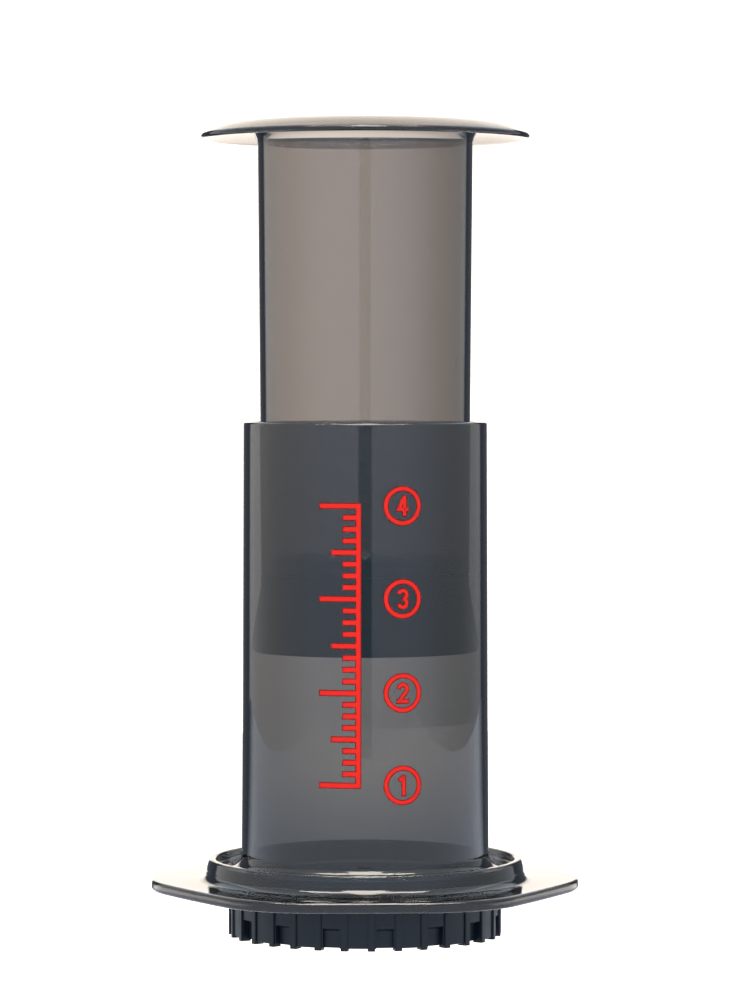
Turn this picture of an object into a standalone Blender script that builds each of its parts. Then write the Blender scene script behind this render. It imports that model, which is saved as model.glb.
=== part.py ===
"""Piston coffee press, in metres, +Z up, standing on the feet of its filter cap.

A clear chamber carries a hexagonal seat plate and a collar near its lower end.
A perforated cap twists onto the chamber's spigot and holds a paper filter.
A hollow plunger slides in the bore, tipped with a rubber seal.
Every piece is modelled from its own lower end and then placed at its height.
"""
import math

import bmesh
import bpy
from mathutils import Vector

# Shared values
FIT_GAP = 0.0003
SEGMENTS = 54
ROUNDING_STEPS = 2
FILLET_STEPS = 3
WELD_DISTANCE = 0.000001
UNION_OVERRUN = 0.0005
SMOOTH_ANGLE = math.radians(35)
HALF_TURN = 180
QUARTER_TURN = 90

# The bore, which every other radius follows
BORE_RADIUS = 0.02965

# Chamber, heights from the end of its spigot
CHAMBER_LENGTH = 0.1277
CHAMBER_WALL = 0.00195
CHAMBER_DRAFT = 0.0004
CHAMBER_RIM_ROUNDING = 0.0006
FLARE_RADIUS = 0.0040
SPIGOT_WALL = 0.00185
SPIGOT_END_ROUNDING = 0.0004

# Bayonet between spigot and cap
LUG_COUNT = 4
LUG_SPAN = math.radians(24)
LUG_PHASE = math.radians(45)
LUG_STEPS = 4
LUG_HEIGHT = 0.0020
LUG_DEPTH = 0.0013
SPIGOT_LUG_UNDERSIDE = 0.0013
LUG_STOP_SPAN = math.radians(5)
LUG_STOP_PLAY = math.radians(1)

# Filter cap, heights from its feet
CAP_HEIGHT = 0.0146
CAP_SKIRT_WALL = 0.00225
CAP_RIB_DEPTH = 0.00045
CAP_RIM_CHAMFER = 0.0004
CAP_FOOT_HEIGHT = 0.0006
CAP_FOOT_LENGTH = 0.0026
CAP_FOOT_WALL = 0.0033
CAP_FLOOR_UNDERSIDE = 0.0022
CAP_FLOOR_THICKNESS = 0.0018
CAP_WINDOW_COUNT = 16
CAP_WINDOW_TOP = 0.0051
CAP_WINDOW_DEPTH = 0.0016
CAP_WINDOW_PHASE = math.radians(6.5)

# Angles of the cap's skirt, as shares of the pitch from one window to the next
WINDOW_FLOOR_SHARE = 0.160
WINDOW_EDGE_SHARE = 0.172
RIB_START_SHARE = 0.184
RIB_END_SHARE = 0.316
RIB_FLANK_SHARE = 0.012

# Perforations of the cap's floor, ring by ring from the centre
PERFORATION_RADIUS = 0.0011
PERFORATION_MARGIN = 0.00365
PERFORATION_COUNTS = (1, 6, 12, 18, 24, 36)
PERFORATION_SIDES = 6

# Paper filter
PAPER_PLAY = 0.0013
PAPER_THICKNESS = 0.0003

# Collar, moat and recess round the chamber's base, above the cap
RECESS_HEADROOM = 0.0010
RECESS_CLEARANCE = 0.0038
RECESS_FILLET = 0.0008
MOAT_FLOOR_THICKNESS = 0.0020
MOAT_FILLET = 0.0011
COLLAR_STEP = 0.0014
COLLAR_RISE = 0.0022
COLLAR_WALL = 0.0020
COLLAR_EDGE_ROUNDING = 0.00055
COLLAR_DRAFT = 0.00045
COLLAR_FILLET = 0.0025

# Hexagonal seat plate: six bowed sides, six rounded corners
PLATE_DROP = 0.00595
PLATE_THICKNESS = 0.0028
PLATE_EDGE_ROUNDING = 0.00045
PLATE_SIDES = 6
PLATE_BORDER = 0.01125
PLATE_SIDE_RADIUS = 0.3257
PLATE_CORNER_RADIUS = 0.0270

# Plunger, heights from the end of its plug
PLUNGER_DRAWN = 0.0685
PLUNGER_LENGTH = 0.1307
TUBE_CLEARANCE = 0.0018
TUBE_DRAFT = 0.00095
TUBE_WALL = 0.00175
PLUG_LENGTH = 0.0147
PLUG_STEP = 0.0023
PLUG_WALL = 0.0017
PLUG_FLOOR = 0.0022
BEAD_DEPTH = 0.0010
BEAD_HEIGHT = 0.0025
BEAD_SLOPE = 0.0005

# Top flange of the plunger, a dished shell; its drop is from the crest to the rim's middle
FLANGE_REACH = 0.0147
FLANGE_THICKNESS = 0.0016
FLANGE_DROP = 0.0036
FLANGE_CREST_REACH = 0.00395
FLANGE_DOME_STEPS = 4
FLANGE_NECK_FILLET = 0.00395
MOUTH_ROUNDING = 0.0030

# Seal, heights from its lower face
SEAL_CLEARANCE = 0.00025
SEAL_FLOOR = 0.0053
SEAL_EDGE_ROUNDING = 0.0016
SEAL_LIP_HEIGHT = 0.0022
SEAL_BAND_HEIGHT = 0.0030
SEAL_TOP_ROUNDING = 0.0004

# Radii that follow from the bore, from the chamber outwards
CHAMBER_TOP_RADIUS = BORE_RADIUS + CHAMBER_WALL
CHAMBER_BASE_RADIUS = CHAMBER_TOP_RADIUS + CHAMBER_DRAFT
SPIGOT_RADIUS = BORE_RADIUS + SPIGOT_WALL
SPIGOT_LUG_RADIUS = SPIGOT_RADIUS + LUG_DEPTH
CAP_BORE_RADIUS = SPIGOT_LUG_RADIUS + FIT_GAP
CAP_RADIUS = CAP_BORE_RADIUS + CAP_SKIRT_WALL
CAP_CAVITY_RADIUS = CAP_RADIUS - CAP_FOOT_WALL
PAPER_RADIUS = CAP_BORE_RADIUS - PAPER_PLAY
RECESS_RADIUS = CAP_RADIUS + RECESS_CLEARANCE
COLLAR_RADIUS = RECESS_RADIUS + COLLAR_STEP
PLATE_SIDE_REACH = COLLAR_RADIUS + PLATE_BORDER
PERFORATION_RING_PITCH = (BORE_RADIUS - PERFORATION_MARGIN) / (len(PERFORATION_COUNTS) - 1)

# Radii that follow from the bore, inwards to the plunger
TUBE_TOP_RADIUS = BORE_RADIUS - TUBE_CLEARANCE
TUBE_BASE_RADIUS = TUBE_TOP_RADIUS - TUBE_DRAFT
PLUG_RADIUS = TUBE_BASE_RADIUS - PLUG_STEP
BEAD_RADIUS = PLUG_RADIUS + BEAD_DEPTH
SEAL_RADIUS = BORE_RADIUS - SEAL_CLEARANCE
FLANGE_RADIUS = TUBE_TOP_RADIUS + FLANGE_REACH
FLANGE_CREST_RADIUS = TUBE_TOP_RADIUS + FLANGE_CREST_REACH

# Heights above the ground that follow from the stack of pieces
CAP_FLOOR_TOP = CAP_FLOOR_UNDERSIDE + CAP_FLOOR_THICKNESS
PAPER_BASE = CAP_FLOOR_TOP + FIT_GAP
CHAMBER_BASE = PAPER_BASE + PAPER_THICKNESS + FIT_GAP
SEAL_BASE = CHAMBER_BASE + PLUNGER_DRAWN
PLUNGER_BASE = SEAL_BASE + SEAL_FLOOR + FIT_GAP

# Heights on the chamber that follow from the cap under its collar
RECESS_CEILING_HEIGHT = CAP_HEIGHT + RECESS_HEADROOM - CHAMBER_BASE
MOAT_FLOOR_HEIGHT = RECESS_CEILING_HEIGHT + MOAT_FLOOR_THICKNESS
COLLAR_TOP_HEIGHT = MOAT_FLOOR_HEIGHT + COLLAR_RISE
PLATE_UNDERSIDE_HEIGHT = MOAT_FLOOR_HEIGHT - PLATE_DROP
PLATE_TOP_HEIGHT = PLATE_UNDERSIDE_HEIGHT + PLATE_THICKNESS


def clear_scene():
    for item in list(bpy.data.objects):
        bpy.data.objects.remove(item, do_unlink=True)


def arc(centre_radius, centre_height, radius, start, end, steps):
    """Points of an arc in the turned profile's plane, angles in degrees."""
    points = []
    for step in range(steps + 1):
        angle = math.radians(start + (end - start) * step / steps)
        points.append((centre_radius + radius * math.cos(angle),
                       centre_height + radius * math.sin(angle)))
    return points


def on_circle(radius, angle, height):
    return Vector((radius * math.cos(angle), radius * math.sin(angle), height))


def even_angles(count):
    return [math.tau * index / count for index in range(count)]


def turned_ring(radius, height, angles):
    if radius == 0:
        return [Vector((0, 0, height))]
    return [on_circle(radius, angle, height) for angle in angles]


def bridge(bm, ring, following):
    """Join two rings of vertices with quads, or with a fan where one is a pole."""
    count = max(len(ring), len(following))
    for index in range(count):
        step = (index + 1) % count
        corners = []
        if len(ring) > 1:
            corners += [ring[index], ring[step]]
        else:
            corners += [ring[0]]
        if len(following) > 1:
            corners += [following[step], following[index]]
        else:
            corners += [following[0]]
        bm.faces.new(corners)


def finish_mesh(name, bm):
    bmesh.ops.remove_doubles(bm, verts=bm.verts, dist=WELD_DISTANCE)
    bmesh.ops.recalc_face_normals(bm, faces=bm.faces)
    mesh = bpy.data.meshes.new(name)
    bm.to_mesh(mesh)
    bm.free()
    mesh.shade_smooth()
    mesh.set_sharp_from_angle(angle=SMOOTH_ANGLE)
    return mesh


def add_object(name, mesh, material=None):
    item = bpy.data.objects.new(name, mesh)
    bpy.context.collection.objects.link(item)
    if material:
        mesh.materials.append(material)
    return item


def loft(name, rings, closed, material):
    """A piece made of rings of points; a closed one returns to its first ring."""
    bm = bmesh.new()
    vertex_rings = [[bm.verts.new(point) for point in ring] for ring in rings]
    for ring, following in zip(vertex_rings, vertex_rings[1:]):
        bridge(bm, ring, following)
    if closed:
        bridge(bm, vertex_rings[-1], vertex_rings[0])
    return add_object(name, finish_mesh(name, bm), material)


def turn(name, profile, material):
    """A solid of revolution whose profile starts and ends on the axis."""
    angles = even_angles(SEGMENTS)
    rings = [turned_ring(radius, height, angles) for radius, height in profile]
    return loft(name, rings, False, material)


def combine(target, tool, operation):
    """Boolean with a hidden tool that stays in the file as construction."""
    tool.hide_render = True
    tool.display_type = 'WIRE'
    modifier = target.modifiers.new(tool.name, 'BOOLEAN')
    modifier.operation = operation
    modifier.solver = 'EXACT'
    modifier.object = tool


def add_sector(bm, inner, outer, low, high, start, span):
    """A block bent round the axis between two radii and two heights."""
    sections = []
    for step in range(LUG_STEPS + 1):
        angle = start + span * step / LUG_STEPS
        corners = ((inner, low), (outer, low), (outer, high), (inner, high))
        sections.append([bm.verts.new(on_circle(r, angle, z)) for r, z in corners])
    for section, following in zip(sections, sections[1:]):
        bridge(bm, section, following)
    bm.faces.new(sections[0])
    bm.faces.new(sections[-1])


def make_material(name, colour, roughness, transmission=0.0):
    material = bpy.data.materials.new(name)
    material.use_nodes = True
    shader = material.node_tree.nodes["Principled BSDF"]
    shader.inputs["Base Color"].default_value = (*colour, 1.0)
    shader.inputs["Roughness"].default_value = roughness
    shader.inputs["Metallic"].default_value = 0.0
    shader.inputs["Transmission Weight"].default_value = transmission
    material.diffuse_color = (*colour, 1.0)
    return material


def plate_reach(angle):
    """Distance from the axis to the plate's outline in the given direction.

    Each side is an arc of large radius, and each corner an arc tangent to its
    two sides. The corners point along +X, -X and the four directions between.
    """
    sector = math.tau / PLATE_SIDES
    half = sector / 2
    from_corner = abs((angle + half) % sector - half)
    side_centre = PLATE_SIDE_REACH - PLATE_SIDE_RADIUS
    lean = math.asin(-side_centre * math.sin(half) / (PLATE_SIDE_RADIUS - PLATE_CORNER_RADIUS))
    corner_centre = (side_centre * math.cos(half)
                     + (PLATE_SIDE_RADIUS - PLATE_CORNER_RADIUS) * math.cos(lean))
    joint_along = corner_centre + PLATE_CORNER_RADIUS * math.cos(lean)
    joint_across = PLATE_CORNER_RADIUS * math.sin(lean)
    if from_corner < math.atan2(joint_across, joint_along):
        centre, radius, offset = corner_centre, PLATE_CORNER_RADIUS, from_corner
    else:
        centre, radius, offset = side_centre, PLATE_SIDE_RADIUS, half - from_corner
    across = centre * math.sin(offset)
    return centre * math.cos(offset) + math.sqrt(radius * radius - across * across)


def plate_ring(inset, height, angles):
    return [on_circle(plate_reach(angle) - inset, angle, height) for angle in angles]


def chamber_upper_profile():
    """Rim, wall, flare, moat and collar, from the bore outwards and down."""
    rim_height = CHAMBER_LENGTH - CHAMBER_RIM_ROUNDING
    profile = arc(BORE_RADIUS + CHAMBER_RIM_ROUNDING, rim_height, CHAMBER_RIM_ROUNDING,
                  HALF_TURN, QUARTER_TURN, ROUNDING_STEPS)
    profile += arc(CHAMBER_TOP_RADIUS - CHAMBER_RIM_ROUNDING, rim_height, CHAMBER_RIM_ROUNDING,
                   QUARTER_TURN, 0, ROUNDING_STEPS)
    profile += arc(CHAMBER_BASE_RADIUS + FLARE_RADIUS, MOAT_FLOOR_HEIGHT + FLARE_RADIUS,
                   FLARE_RADIUS, HALF_TURN, HALF_TURN + QUARTER_TURN, FILLET_STEPS)
    edge_height = COLLAR_TOP_HEIGHT - COLLAR_EDGE_ROUNDING
    inner = COLLAR_RADIUS - COLLAR_WALL
    fillet = min(MOAT_FILLET, edge_height - MOAT_FLOOR_HEIGHT)
    profile += arc(inner - fillet, MOAT_FLOOR_HEIGHT + fillet, fillet,
                   -QUARTER_TURN, 0, ROUNDING_STEPS)
    profile += arc(inner + COLLAR_EDGE_ROUNDING, edge_height, COLLAR_EDGE_ROUNDING,
                   HALF_TURN, QUARTER_TURN, ROUNDING_STEPS)
    profile += arc(COLLAR_RADIUS - COLLAR_EDGE_ROUNDING, edge_height, COLLAR_EDGE_ROUNDING,
                   QUARTER_TURN, 0, ROUNDING_STEPS)
    profile += arc(COLLAR_RADIUS + COLLAR_DRAFT + COLLAR_FILLET,
                   PLATE_TOP_HEIGHT + COLLAR_FILLET,
                   COLLAR_FILLET, HALF_TURN, HALF_TURN + QUARTER_TURN, FILLET_STEPS)
    return profile


def chamber_plate_rings(angles):
    """The plate's rounded edge, from its upper face round to its underside."""
    rings = []
    upper = PLATE_TOP_HEIGHT - PLATE_EDGE_ROUNDING
    lower = PLATE_UNDERSIDE_HEIGHT + PLATE_EDGE_ROUNDING
    edge = arc(-PLATE_EDGE_ROUNDING, upper, PLATE_EDGE_ROUNDING, QUARTER_TURN, 0, ROUNDING_STEPS)
    edge += arc(-PLATE_EDGE_ROUNDING, lower, PLATE_EDGE_ROUNDING, 0, -QUARTER_TURN, ROUNDING_STEPS)
    for offset, height in edge:
        rings.append(plate_ring(-offset, height, angles))
    return rings


def chamber_lower_profile():
    """Recess under the collar, then the spigot down to its end and the bore."""
    ceiling = RECESS_CEILING_HEIGHT
    profile = [(RECESS_RADIUS, PLATE_UNDERSIDE_HEIGHT)]
    profile += arc(RECESS_RADIUS - RECESS_FILLET, ceiling - RECESS_FILLET, RECESS_FILLET,
                   0, QUARTER_TURN, ROUNDING_STEPS)
    profile += arc(SPIGOT_RADIUS + RECESS_FILLET, ceiling - RECESS_FILLET, RECESS_FILLET,
                   QUARTER_TURN, HALF_TURN, ROUNDING_STEPS)
    profile += arc(SPIGOT_RADIUS - SPIGOT_END_ROUNDING, SPIGOT_END_ROUNDING, SPIGOT_END_ROUNDING,
                   0, -QUARTER_TURN, ROUNDING_STEPS)
    profile += arc(BORE_RADIUS + SPIGOT_END_ROUNDING, SPIGOT_END_ROUNDING, SPIGOT_END_ROUNDING,
                   -QUARTER_TURN, -HALF_TURN, ROUNDING_STEPS)
    return profile


def lug_starts():
    """Where each bayonet lug begins, seen turning left from above."""
    return [LUG_PHASE - LUG_SPAN / 2 + math.tau * index / LUG_COUNT
            for index in range(LUG_COUNT)]


def make_spigot_lugs():
    """Lugs on the spigot, each with an end stop that stops the cap's lug."""
    bm = bmesh.new()
    inner = SPIGOT_RADIUS - UNION_OVERRUN
    top = SPIGOT_LUG_UNDERSIDE + LUG_HEIGHT
    stop_top = top + FIT_GAP + LUG_HEIGHT
    for start in lug_starts():
        add_sector(bm, inner, SPIGOT_LUG_RADIUS, SPIGOT_LUG_UNDERSIDE, top, start, LUG_SPAN)
        stop_start = start + LUG_SPAN + LUG_STOP_PLAY
        add_sector(bm, inner, SPIGOT_LUG_RADIUS, SPIGOT_LUG_UNDERSIDE, stop_top,
                   stop_start, LUG_STOP_SPAN)
    return add_object("spigot_lug_tool", finish_mesh("spigot_lug_tool", bm))


def make_chamber(material):
    angles = even_angles(SEGMENTS)
    rings = [turned_ring(r, z, angles) for r, z in chamber_upper_profile()]
    rings += chamber_plate_rings(angles)
    rings += [turned_ring(r, z, angles) for r, z in chamber_lower_profile()]
    chamber = loft("chamber", rings, True, material)
    lugs = make_spigot_lugs()
    lugs.parent = chamber
    combine(chamber, lugs, 'UNION')
    chamber.location.z = CHAMBER_BASE
    return chamber


def cap_columns():
    """One entry per upright line of the skirt: angle, upper radius, lower radius, foot."""
    base = CAP_RADIUS - CAP_RIB_DEPTH
    half = [(WINDOW_FLOOR_SHARE, base, base - CAP_WINDOW_DEPTH, CAP_FOOT_HEIGHT),
            (WINDOW_EDGE_SHARE, base, base, CAP_FOOT_HEIGHT),
            (RIB_START_SHARE, CAP_RADIUS, CAP_RADIUS, 0),
            (RIB_END_SHARE, CAP_RADIUS, CAP_RADIUS, 0),
            (RIB_END_SHARE + RIB_FLANK_SHARE, base, base, CAP_FOOT_HEIGHT)]
    pitch = math.tau / CAP_WINDOW_COUNT
    mirrored = [(-share, *rest) for share, *rest in reversed(half)]
    columns = []
    for index in range(CAP_WINDOW_COUNT):
        for share, upper, lower, foot in mirrored + half:
            angle = CAP_WINDOW_PHASE + pitch * (index + share)
            columns.append((angle, upper, lower, foot))
    return columns


def make_perforation_tool():
    """One pin per hole: a centre hole and five rings round it."""
    bm = bmesh.new()
    low = CAP_FLOOR_UNDERSIDE - UNION_OVERRUN
    high = CAP_FLOOR_TOP + UNION_OVERRUN
    for ring_index, count in enumerate(PERFORATION_COUNTS):
        for turn_angle in even_angles(count):
            centre = on_circle(ring_index * PERFORATION_RING_PITCH, turn_angle, 0)
            sides = even_angles(PERFORATION_SIDES)
            lower = [bm.verts.new(centre + on_circle(PERFORATION_RADIUS, a, low)) for a in sides]
            upper = [bm.verts.new(centre + on_circle(PERFORATION_RADIUS, a, high)) for a in sides]
            bridge(bm, lower, upper)
            bm.faces.new(lower)
            bm.faces.new(upper)
    return add_object("perforation_tool", finish_mesh("perforation_tool", bm))


def make_cap_lugs():
    """Lugs inside the cap, which lie on the spigot's lugs when it is locked."""
    bm = bmesh.new()
    low = CHAMBER_BASE + SPIGOT_LUG_UNDERSIDE + LUG_HEIGHT + FIT_GAP
    for start in lug_starts():
        add_sector(bm, SPIGOT_RADIUS + FIT_GAP, CAP_BORE_RADIUS + UNION_OVERRUN,
                   low, low + LUG_HEIGHT, start, LUG_SPAN)
    return add_object("cap_lug_tool", finish_mesh("cap_lug_tool", bm))


def make_filter_cap(material):
    """Ribbed and castellated skirt round a perforated floor."""
    columns = cap_columns()
    foot_inner = CAP_RADIUS - CAP_FOOT_LENGTH

    def ring(place):
        return [on_circle(*place(*column)) for column in columns]

    rings = [
        ring(lambda a, upper, lower, foot: (CAP_CAVITY_RADIUS, a, CAP_FLOOR_UNDERSIDE)),
        ring(lambda a, upper, lower, foot: (CAP_CAVITY_RADIUS, a, CAP_FOOT_HEIGHT)),
        ring(lambda a, upper, lower, foot: (foot_inner, a, foot)),
        ring(lambda a, upper, lower, foot: (lower, a, foot)),
        ring(lambda a, upper, lower, foot: (lower, a, CAP_WINDOW_TOP)),
        ring(lambda a, upper, lower, foot: (upper, a, CAP_WINDOW_TOP)),
        ring(lambda a, upper, lower, foot: (upper, a, CAP_HEIGHT - CAP_RIM_CHAMFER)),
        ring(lambda a, upper, lower, foot: (upper - CAP_RIM_CHAMFER, a, CAP_HEIGHT)),
        ring(lambda a, upper, lower, foot: (CAP_BORE_RADIUS, a, CAP_HEIGHT)),
        ring(lambda a, upper, lower, foot: (CAP_BORE_RADIUS, a, CAP_FLOOR_TOP)),
    ]
    bm = bmesh.new()
    vertex_rings = [[bm.verts.new(point) for point in points] for points in rings]
    for lower_ring, upper_ring in zip(vertex_rings, vertex_rings[1:]):
        bridge(bm, lower_ring, upper_ring)
    bm.faces.new(vertex_rings[0])
    bm.faces.new(vertex_rings[-1])
    cap = add_object("filter_cap", finish_mesh("filter_cap", bm), material)
    for tool, operation in ((make_cap_lugs(), 'UNION'), (make_perforation_tool(), 'DIFFERENCE')):
        tool.parent = cap
        combine(cap, tool, operation)
    return cap


def make_paper_filter(material):
    profile = [(0, 0), (PAPER_RADIUS, 0), (PAPER_RADIUS, PAPER_THICKNESS), (0, PAPER_THICKNESS)]
    paper = turn("paper_filter", profile, material)
    paper.location.z = PAPER_BASE
    return paper


def plunger_plug_profile():
    """The plug that the seal snaps onto, from its end up to the tube's shoulder."""
    return [(0, 0),
            (BEAD_RADIUS - BEAD_SLOPE, 0),
            (BEAD_RADIUS, BEAD_SLOPE),
            (BEAD_RADIUS, BEAD_HEIGHT),
            (PLUG_RADIUS, BEAD_HEIGHT + BEAD_SLOPE),
            (PLUG_RADIUS, PLUG_LENGTH)]


def flange_profile():
    """Neck fillet, dished underside, round rim and low dome of the plunger's top flange.

    The dome is an arc that runs level off the crest and meets the rim's circle
    without a break. The underside lies one thickness below it.
    """
    half = FLANGE_THICKNESS / 2
    rim_radius = FLANGE_RADIUS - half
    rim_height = PLUNGER_LENGTH - FLANGE_DROP
    run = rim_radius - FLANGE_CREST_RADIUS
    dome_radius = (run ** 2 + FLANGE_DROP ** 2 - half ** 2) / (2 * (FLANGE_DROP - half))
    dome_centre = PLUNGER_LENGTH - dome_radius
    slope = math.degrees(math.asin(run / (dome_radius - half)))
    neck = min(FLANGE_NECK_FILLET, FLANGE_CREST_REACH)
    profile = arc(TUBE_TOP_RADIUS + neck, PLUNGER_LENGTH - FLANGE_THICKNESS - neck, neck,
                  HALF_TURN, QUARTER_TURN, FILLET_STEPS)
    profile += arc(FLANGE_CREST_RADIUS, dome_centre, dome_radius - FLANGE_THICKNESS,
                   QUARTER_TURN, QUARTER_TURN - slope, ROUNDING_STEPS)
    profile += arc(rim_radius, rim_height, half,
                   -QUARTER_TURN - slope, QUARTER_TURN - slope, ROUNDING_STEPS + FILLET_STEPS)
    profile += arc(FLANGE_CREST_RADIUS, dome_centre, dome_radius,
                   QUARTER_TURN - slope, QUARTER_TURN, FLANGE_DOME_STEPS)
    return profile


def plunger_bore_profile():
    """Rounded mouth, tapered bore, step at the plug and the closed end."""
    mouth = TUBE_TOP_RADIUS - TUBE_WALL
    tube_bore = TUBE_BASE_RADIUS - TUBE_WALL
    plug_bore = PLUG_RADIUS - PLUG_WALL
    profile = arc(mouth + MOUTH_ROUNDING, PLUNGER_LENGTH - MOUTH_ROUNDING, MOUTH_ROUNDING,
                  QUARTER_TURN, HALF_TURN, ROUNDING_STEPS + 1)
    profile += [(tube_bore, PLUG_LENGTH + PLUG_FLOOR + TUBE_WALL),
                (plug_bore, PLUG_LENGTH + PLUG_FLOOR),
                (plug_bore, PLUG_FLOOR),
                (0, PLUG_FLOOR)]
    return profile


def make_plunger(material):
    profile = plunger_plug_profile()
    profile += [(TUBE_BASE_RADIUS, PLUG_LENGTH)]
    profile += flange_profile()
    profile += plunger_bore_profile()
    plunger = turn("plunger", profile, material)
    plunger.location.z = PLUNGER_BASE
    return plunger


def make_plunger_seal(material):
    """Rubber cup: a flat face, a wiping lip and a cone up to the tube."""
    seal_top = SEAL_FLOOR + PLUG_LENGTH
    groove = BEAD_RADIUS + FIT_GAP
    cavity = PLUG_RADIUS + FIT_GAP
    groove_top = SEAL_FLOOR + FIT_GAP + BEAD_HEIGHT + FIT_GAP / 2
    neck = TUBE_BASE_RADIUS
    profile = [(0, 0)]
    profile += arc(SEAL_RADIUS - SEAL_EDGE_ROUNDING, SEAL_EDGE_ROUNDING, SEAL_EDGE_ROUNDING,
                   -QUARTER_TURN, 0, ROUNDING_STEPS + 1)
    profile += [(SEAL_RADIUS, SEAL_LIP_HEIGHT), (neck, seal_top - SEAL_BAND_HEIGHT)]
    profile += arc(neck - SEAL_TOP_ROUNDING, seal_top - SEAL_TOP_ROUNDING, SEAL_TOP_ROUNDING,
                   0, QUARTER_TURN, ROUNDING_STEPS)
    profile += [(cavity, seal_top),
                (cavity, groove_top + BEAD_SLOPE),
                (groove, groove_top),
                (groove, SEAL_FLOOR),
                (0, SEAL_FLOOR)]
    seal = turn("plunger_seal", profile, material)
    seal.location.z = SEAL_BASE
    return seal


def make_carrier(name, height, pieces):
    """An empty on the joint's axis that carries the pieces moving together."""
    carrier = bpy.data.objects.new(name, None)
    bpy.context.collection.objects.link(carrier)
    carrier.location.z = height
    for piece in pieces:
        piece.parent = carrier
        piece.location.z -= height
    return carrier


def main():
    clear_scene()
    clear_plastic = make_material("smoke_copolyester", (0.20, 0.185, 0.175), 0.08, 0.9)
    rubber = make_material("seal_rubber", (0.045, 0.047, 0.052), 0.55)
    cap_plastic = make_material("cap_polypropylene", (0.028, 0.036, 0.050), 0.38)
    paper = make_material("filter_paper", (0.83, 0.80, 0.74), 0.95)
    make_chamber(clear_plastic)
    plunger = make_plunger(clear_plastic)
    seal = make_plunger_seal(rubber)
    make_carrier("plunger_slide", PLUNGER_BASE, (plunger, seal))
    cap = make_filter_cap(cap_plastic)
    disc = make_paper_filter(paper)
    make_carrier("cap_twist", CAP_FLOOR_TOP, (cap, disc))


main()
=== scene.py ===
# %% [markdown]
# Piston coffee press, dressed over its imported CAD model.
# The press is four mouldings and a disc of paper: a clear smoke-grey chamber with a hexagonal
# seat plate, a hollow plunger with a wide flange, a rubber seal, a blue-black filter cap, and
# the paper filter inside it.
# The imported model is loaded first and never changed. Each of its solids, which the frame calls
# nodes, is then hidden behind a finer piece of the same size that rides on the same body.

# %% Load the frame
import math
from functools import partial

import bmesh
import bpy
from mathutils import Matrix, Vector


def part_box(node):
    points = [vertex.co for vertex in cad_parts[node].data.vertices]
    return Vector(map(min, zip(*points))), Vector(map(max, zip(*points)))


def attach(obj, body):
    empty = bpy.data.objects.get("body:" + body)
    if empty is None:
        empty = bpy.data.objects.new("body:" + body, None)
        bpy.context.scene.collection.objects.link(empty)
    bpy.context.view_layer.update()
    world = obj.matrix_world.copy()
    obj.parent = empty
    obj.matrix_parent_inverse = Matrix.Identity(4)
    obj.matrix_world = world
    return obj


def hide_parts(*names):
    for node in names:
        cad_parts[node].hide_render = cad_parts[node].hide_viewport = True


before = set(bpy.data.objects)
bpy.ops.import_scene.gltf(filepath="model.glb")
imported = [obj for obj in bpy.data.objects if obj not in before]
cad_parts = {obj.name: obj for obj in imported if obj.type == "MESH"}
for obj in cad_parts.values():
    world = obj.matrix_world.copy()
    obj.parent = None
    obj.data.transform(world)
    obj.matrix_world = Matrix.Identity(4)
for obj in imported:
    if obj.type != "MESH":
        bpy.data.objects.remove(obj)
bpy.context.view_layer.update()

MM = 0.001


def link_object(name, data):
    """A new object in the scene, at the origin, that shows a mesh or is a camera."""
    item = bpy.data.objects.new(name, data)
    bpy.context.scene.collection.objects.link(item)
    return item


# %% [markdown]
# One function adds a node to any tree, whether it is a shader, a world or a geometry tree. Its
# inputs come in order, or as a dictionary by name or by place. A kind in capitals is a Math
# node's operation, and a value that is a node stands for that node's first output in use. A
# chain of sums then reads almost as a formula. Nodes could also be added and linked one by one,
# but a tree of fifty nodes would fill pages.

# %% Node helper
def add_node(tree, kind, *inputs, **settings):
    """Add one node, set its own settings, and set or link its inputs."""
    if kind.isupper():
        kind, settings["operation"] = "ShaderNodeMath", kind
    node = tree.nodes.new(kind)
    for name, value in settings.items():
        setattr(node, name, value)
    given = inputs[0] if inputs and isinstance(inputs[0], dict) else dict(enumerate(inputs))
    for key, value in given.items():
        if isinstance(value, bpy.types.Node):
            value = next(socket for socket in value.outputs if socket.enabled)
        if isinstance(value, bpy.types.NodeSocket):
            tree.links.new(value, node.inputs[key])
        else:
            node.inputs[key].default_value = value
    return node


def between(node, value, low, high, soft):
    """One inside the two limits, nought outside them, with soft borders."""
    slopes = [node("ShaderNodeMapRange",
                   {"Value": value, "From Min": limit - way, "From Max": limit + way},
                   interpolation_type="SMOOTHSTEP") for limit, way in ((low, soft), (high, -soft))]
    return node("MULTIPLY", *slopes)


def lay_over(node, colour, *layers):
    """Lay colours one over another, each through its own mask."""
    for mask, upper in layers:
        colour = node("ShaderNodeMix", {0: mask, 6: colour, 7: upper}, data_type="RGBA")
    return colour


print("node helpers ready")

# %% [markdown]
# Colours are written as the screen shows them, in sRGB, and turned to linear light by one
# function. Every material starts with an empty tree and the place on the object that its
# patterns read, so that they stay put when the piece moves.

# %% Colours and materials
def linear(hex_colour):
    """An sRGB hex colour such as '#c81e14' as linear red, green, blue and alpha."""
    channels = [int(hex_colour[i:i + 2], 16) / 255 for i in (1, 3, 5)]
    bent = [c / 12.92 if c <= 0.04045 else ((c + 0.055) / 1.055) ** 2.4 for c in channels]
    return (*bent, 1.0)


def new_material(name):
    """An empty material, the function that adds its nodes, and the place on the object."""
    material = bpy.data.materials.new(name)
    material.use_nodes = True
    material.node_tree.nodes.clear()
    node = partial(add_node, material.node_tree)
    return material, node, node("ShaderNodeTexCoord").outputs["Object"]


print("mid grey #808080 in linear light:", round(linear("#808080")[0], 3))

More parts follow.
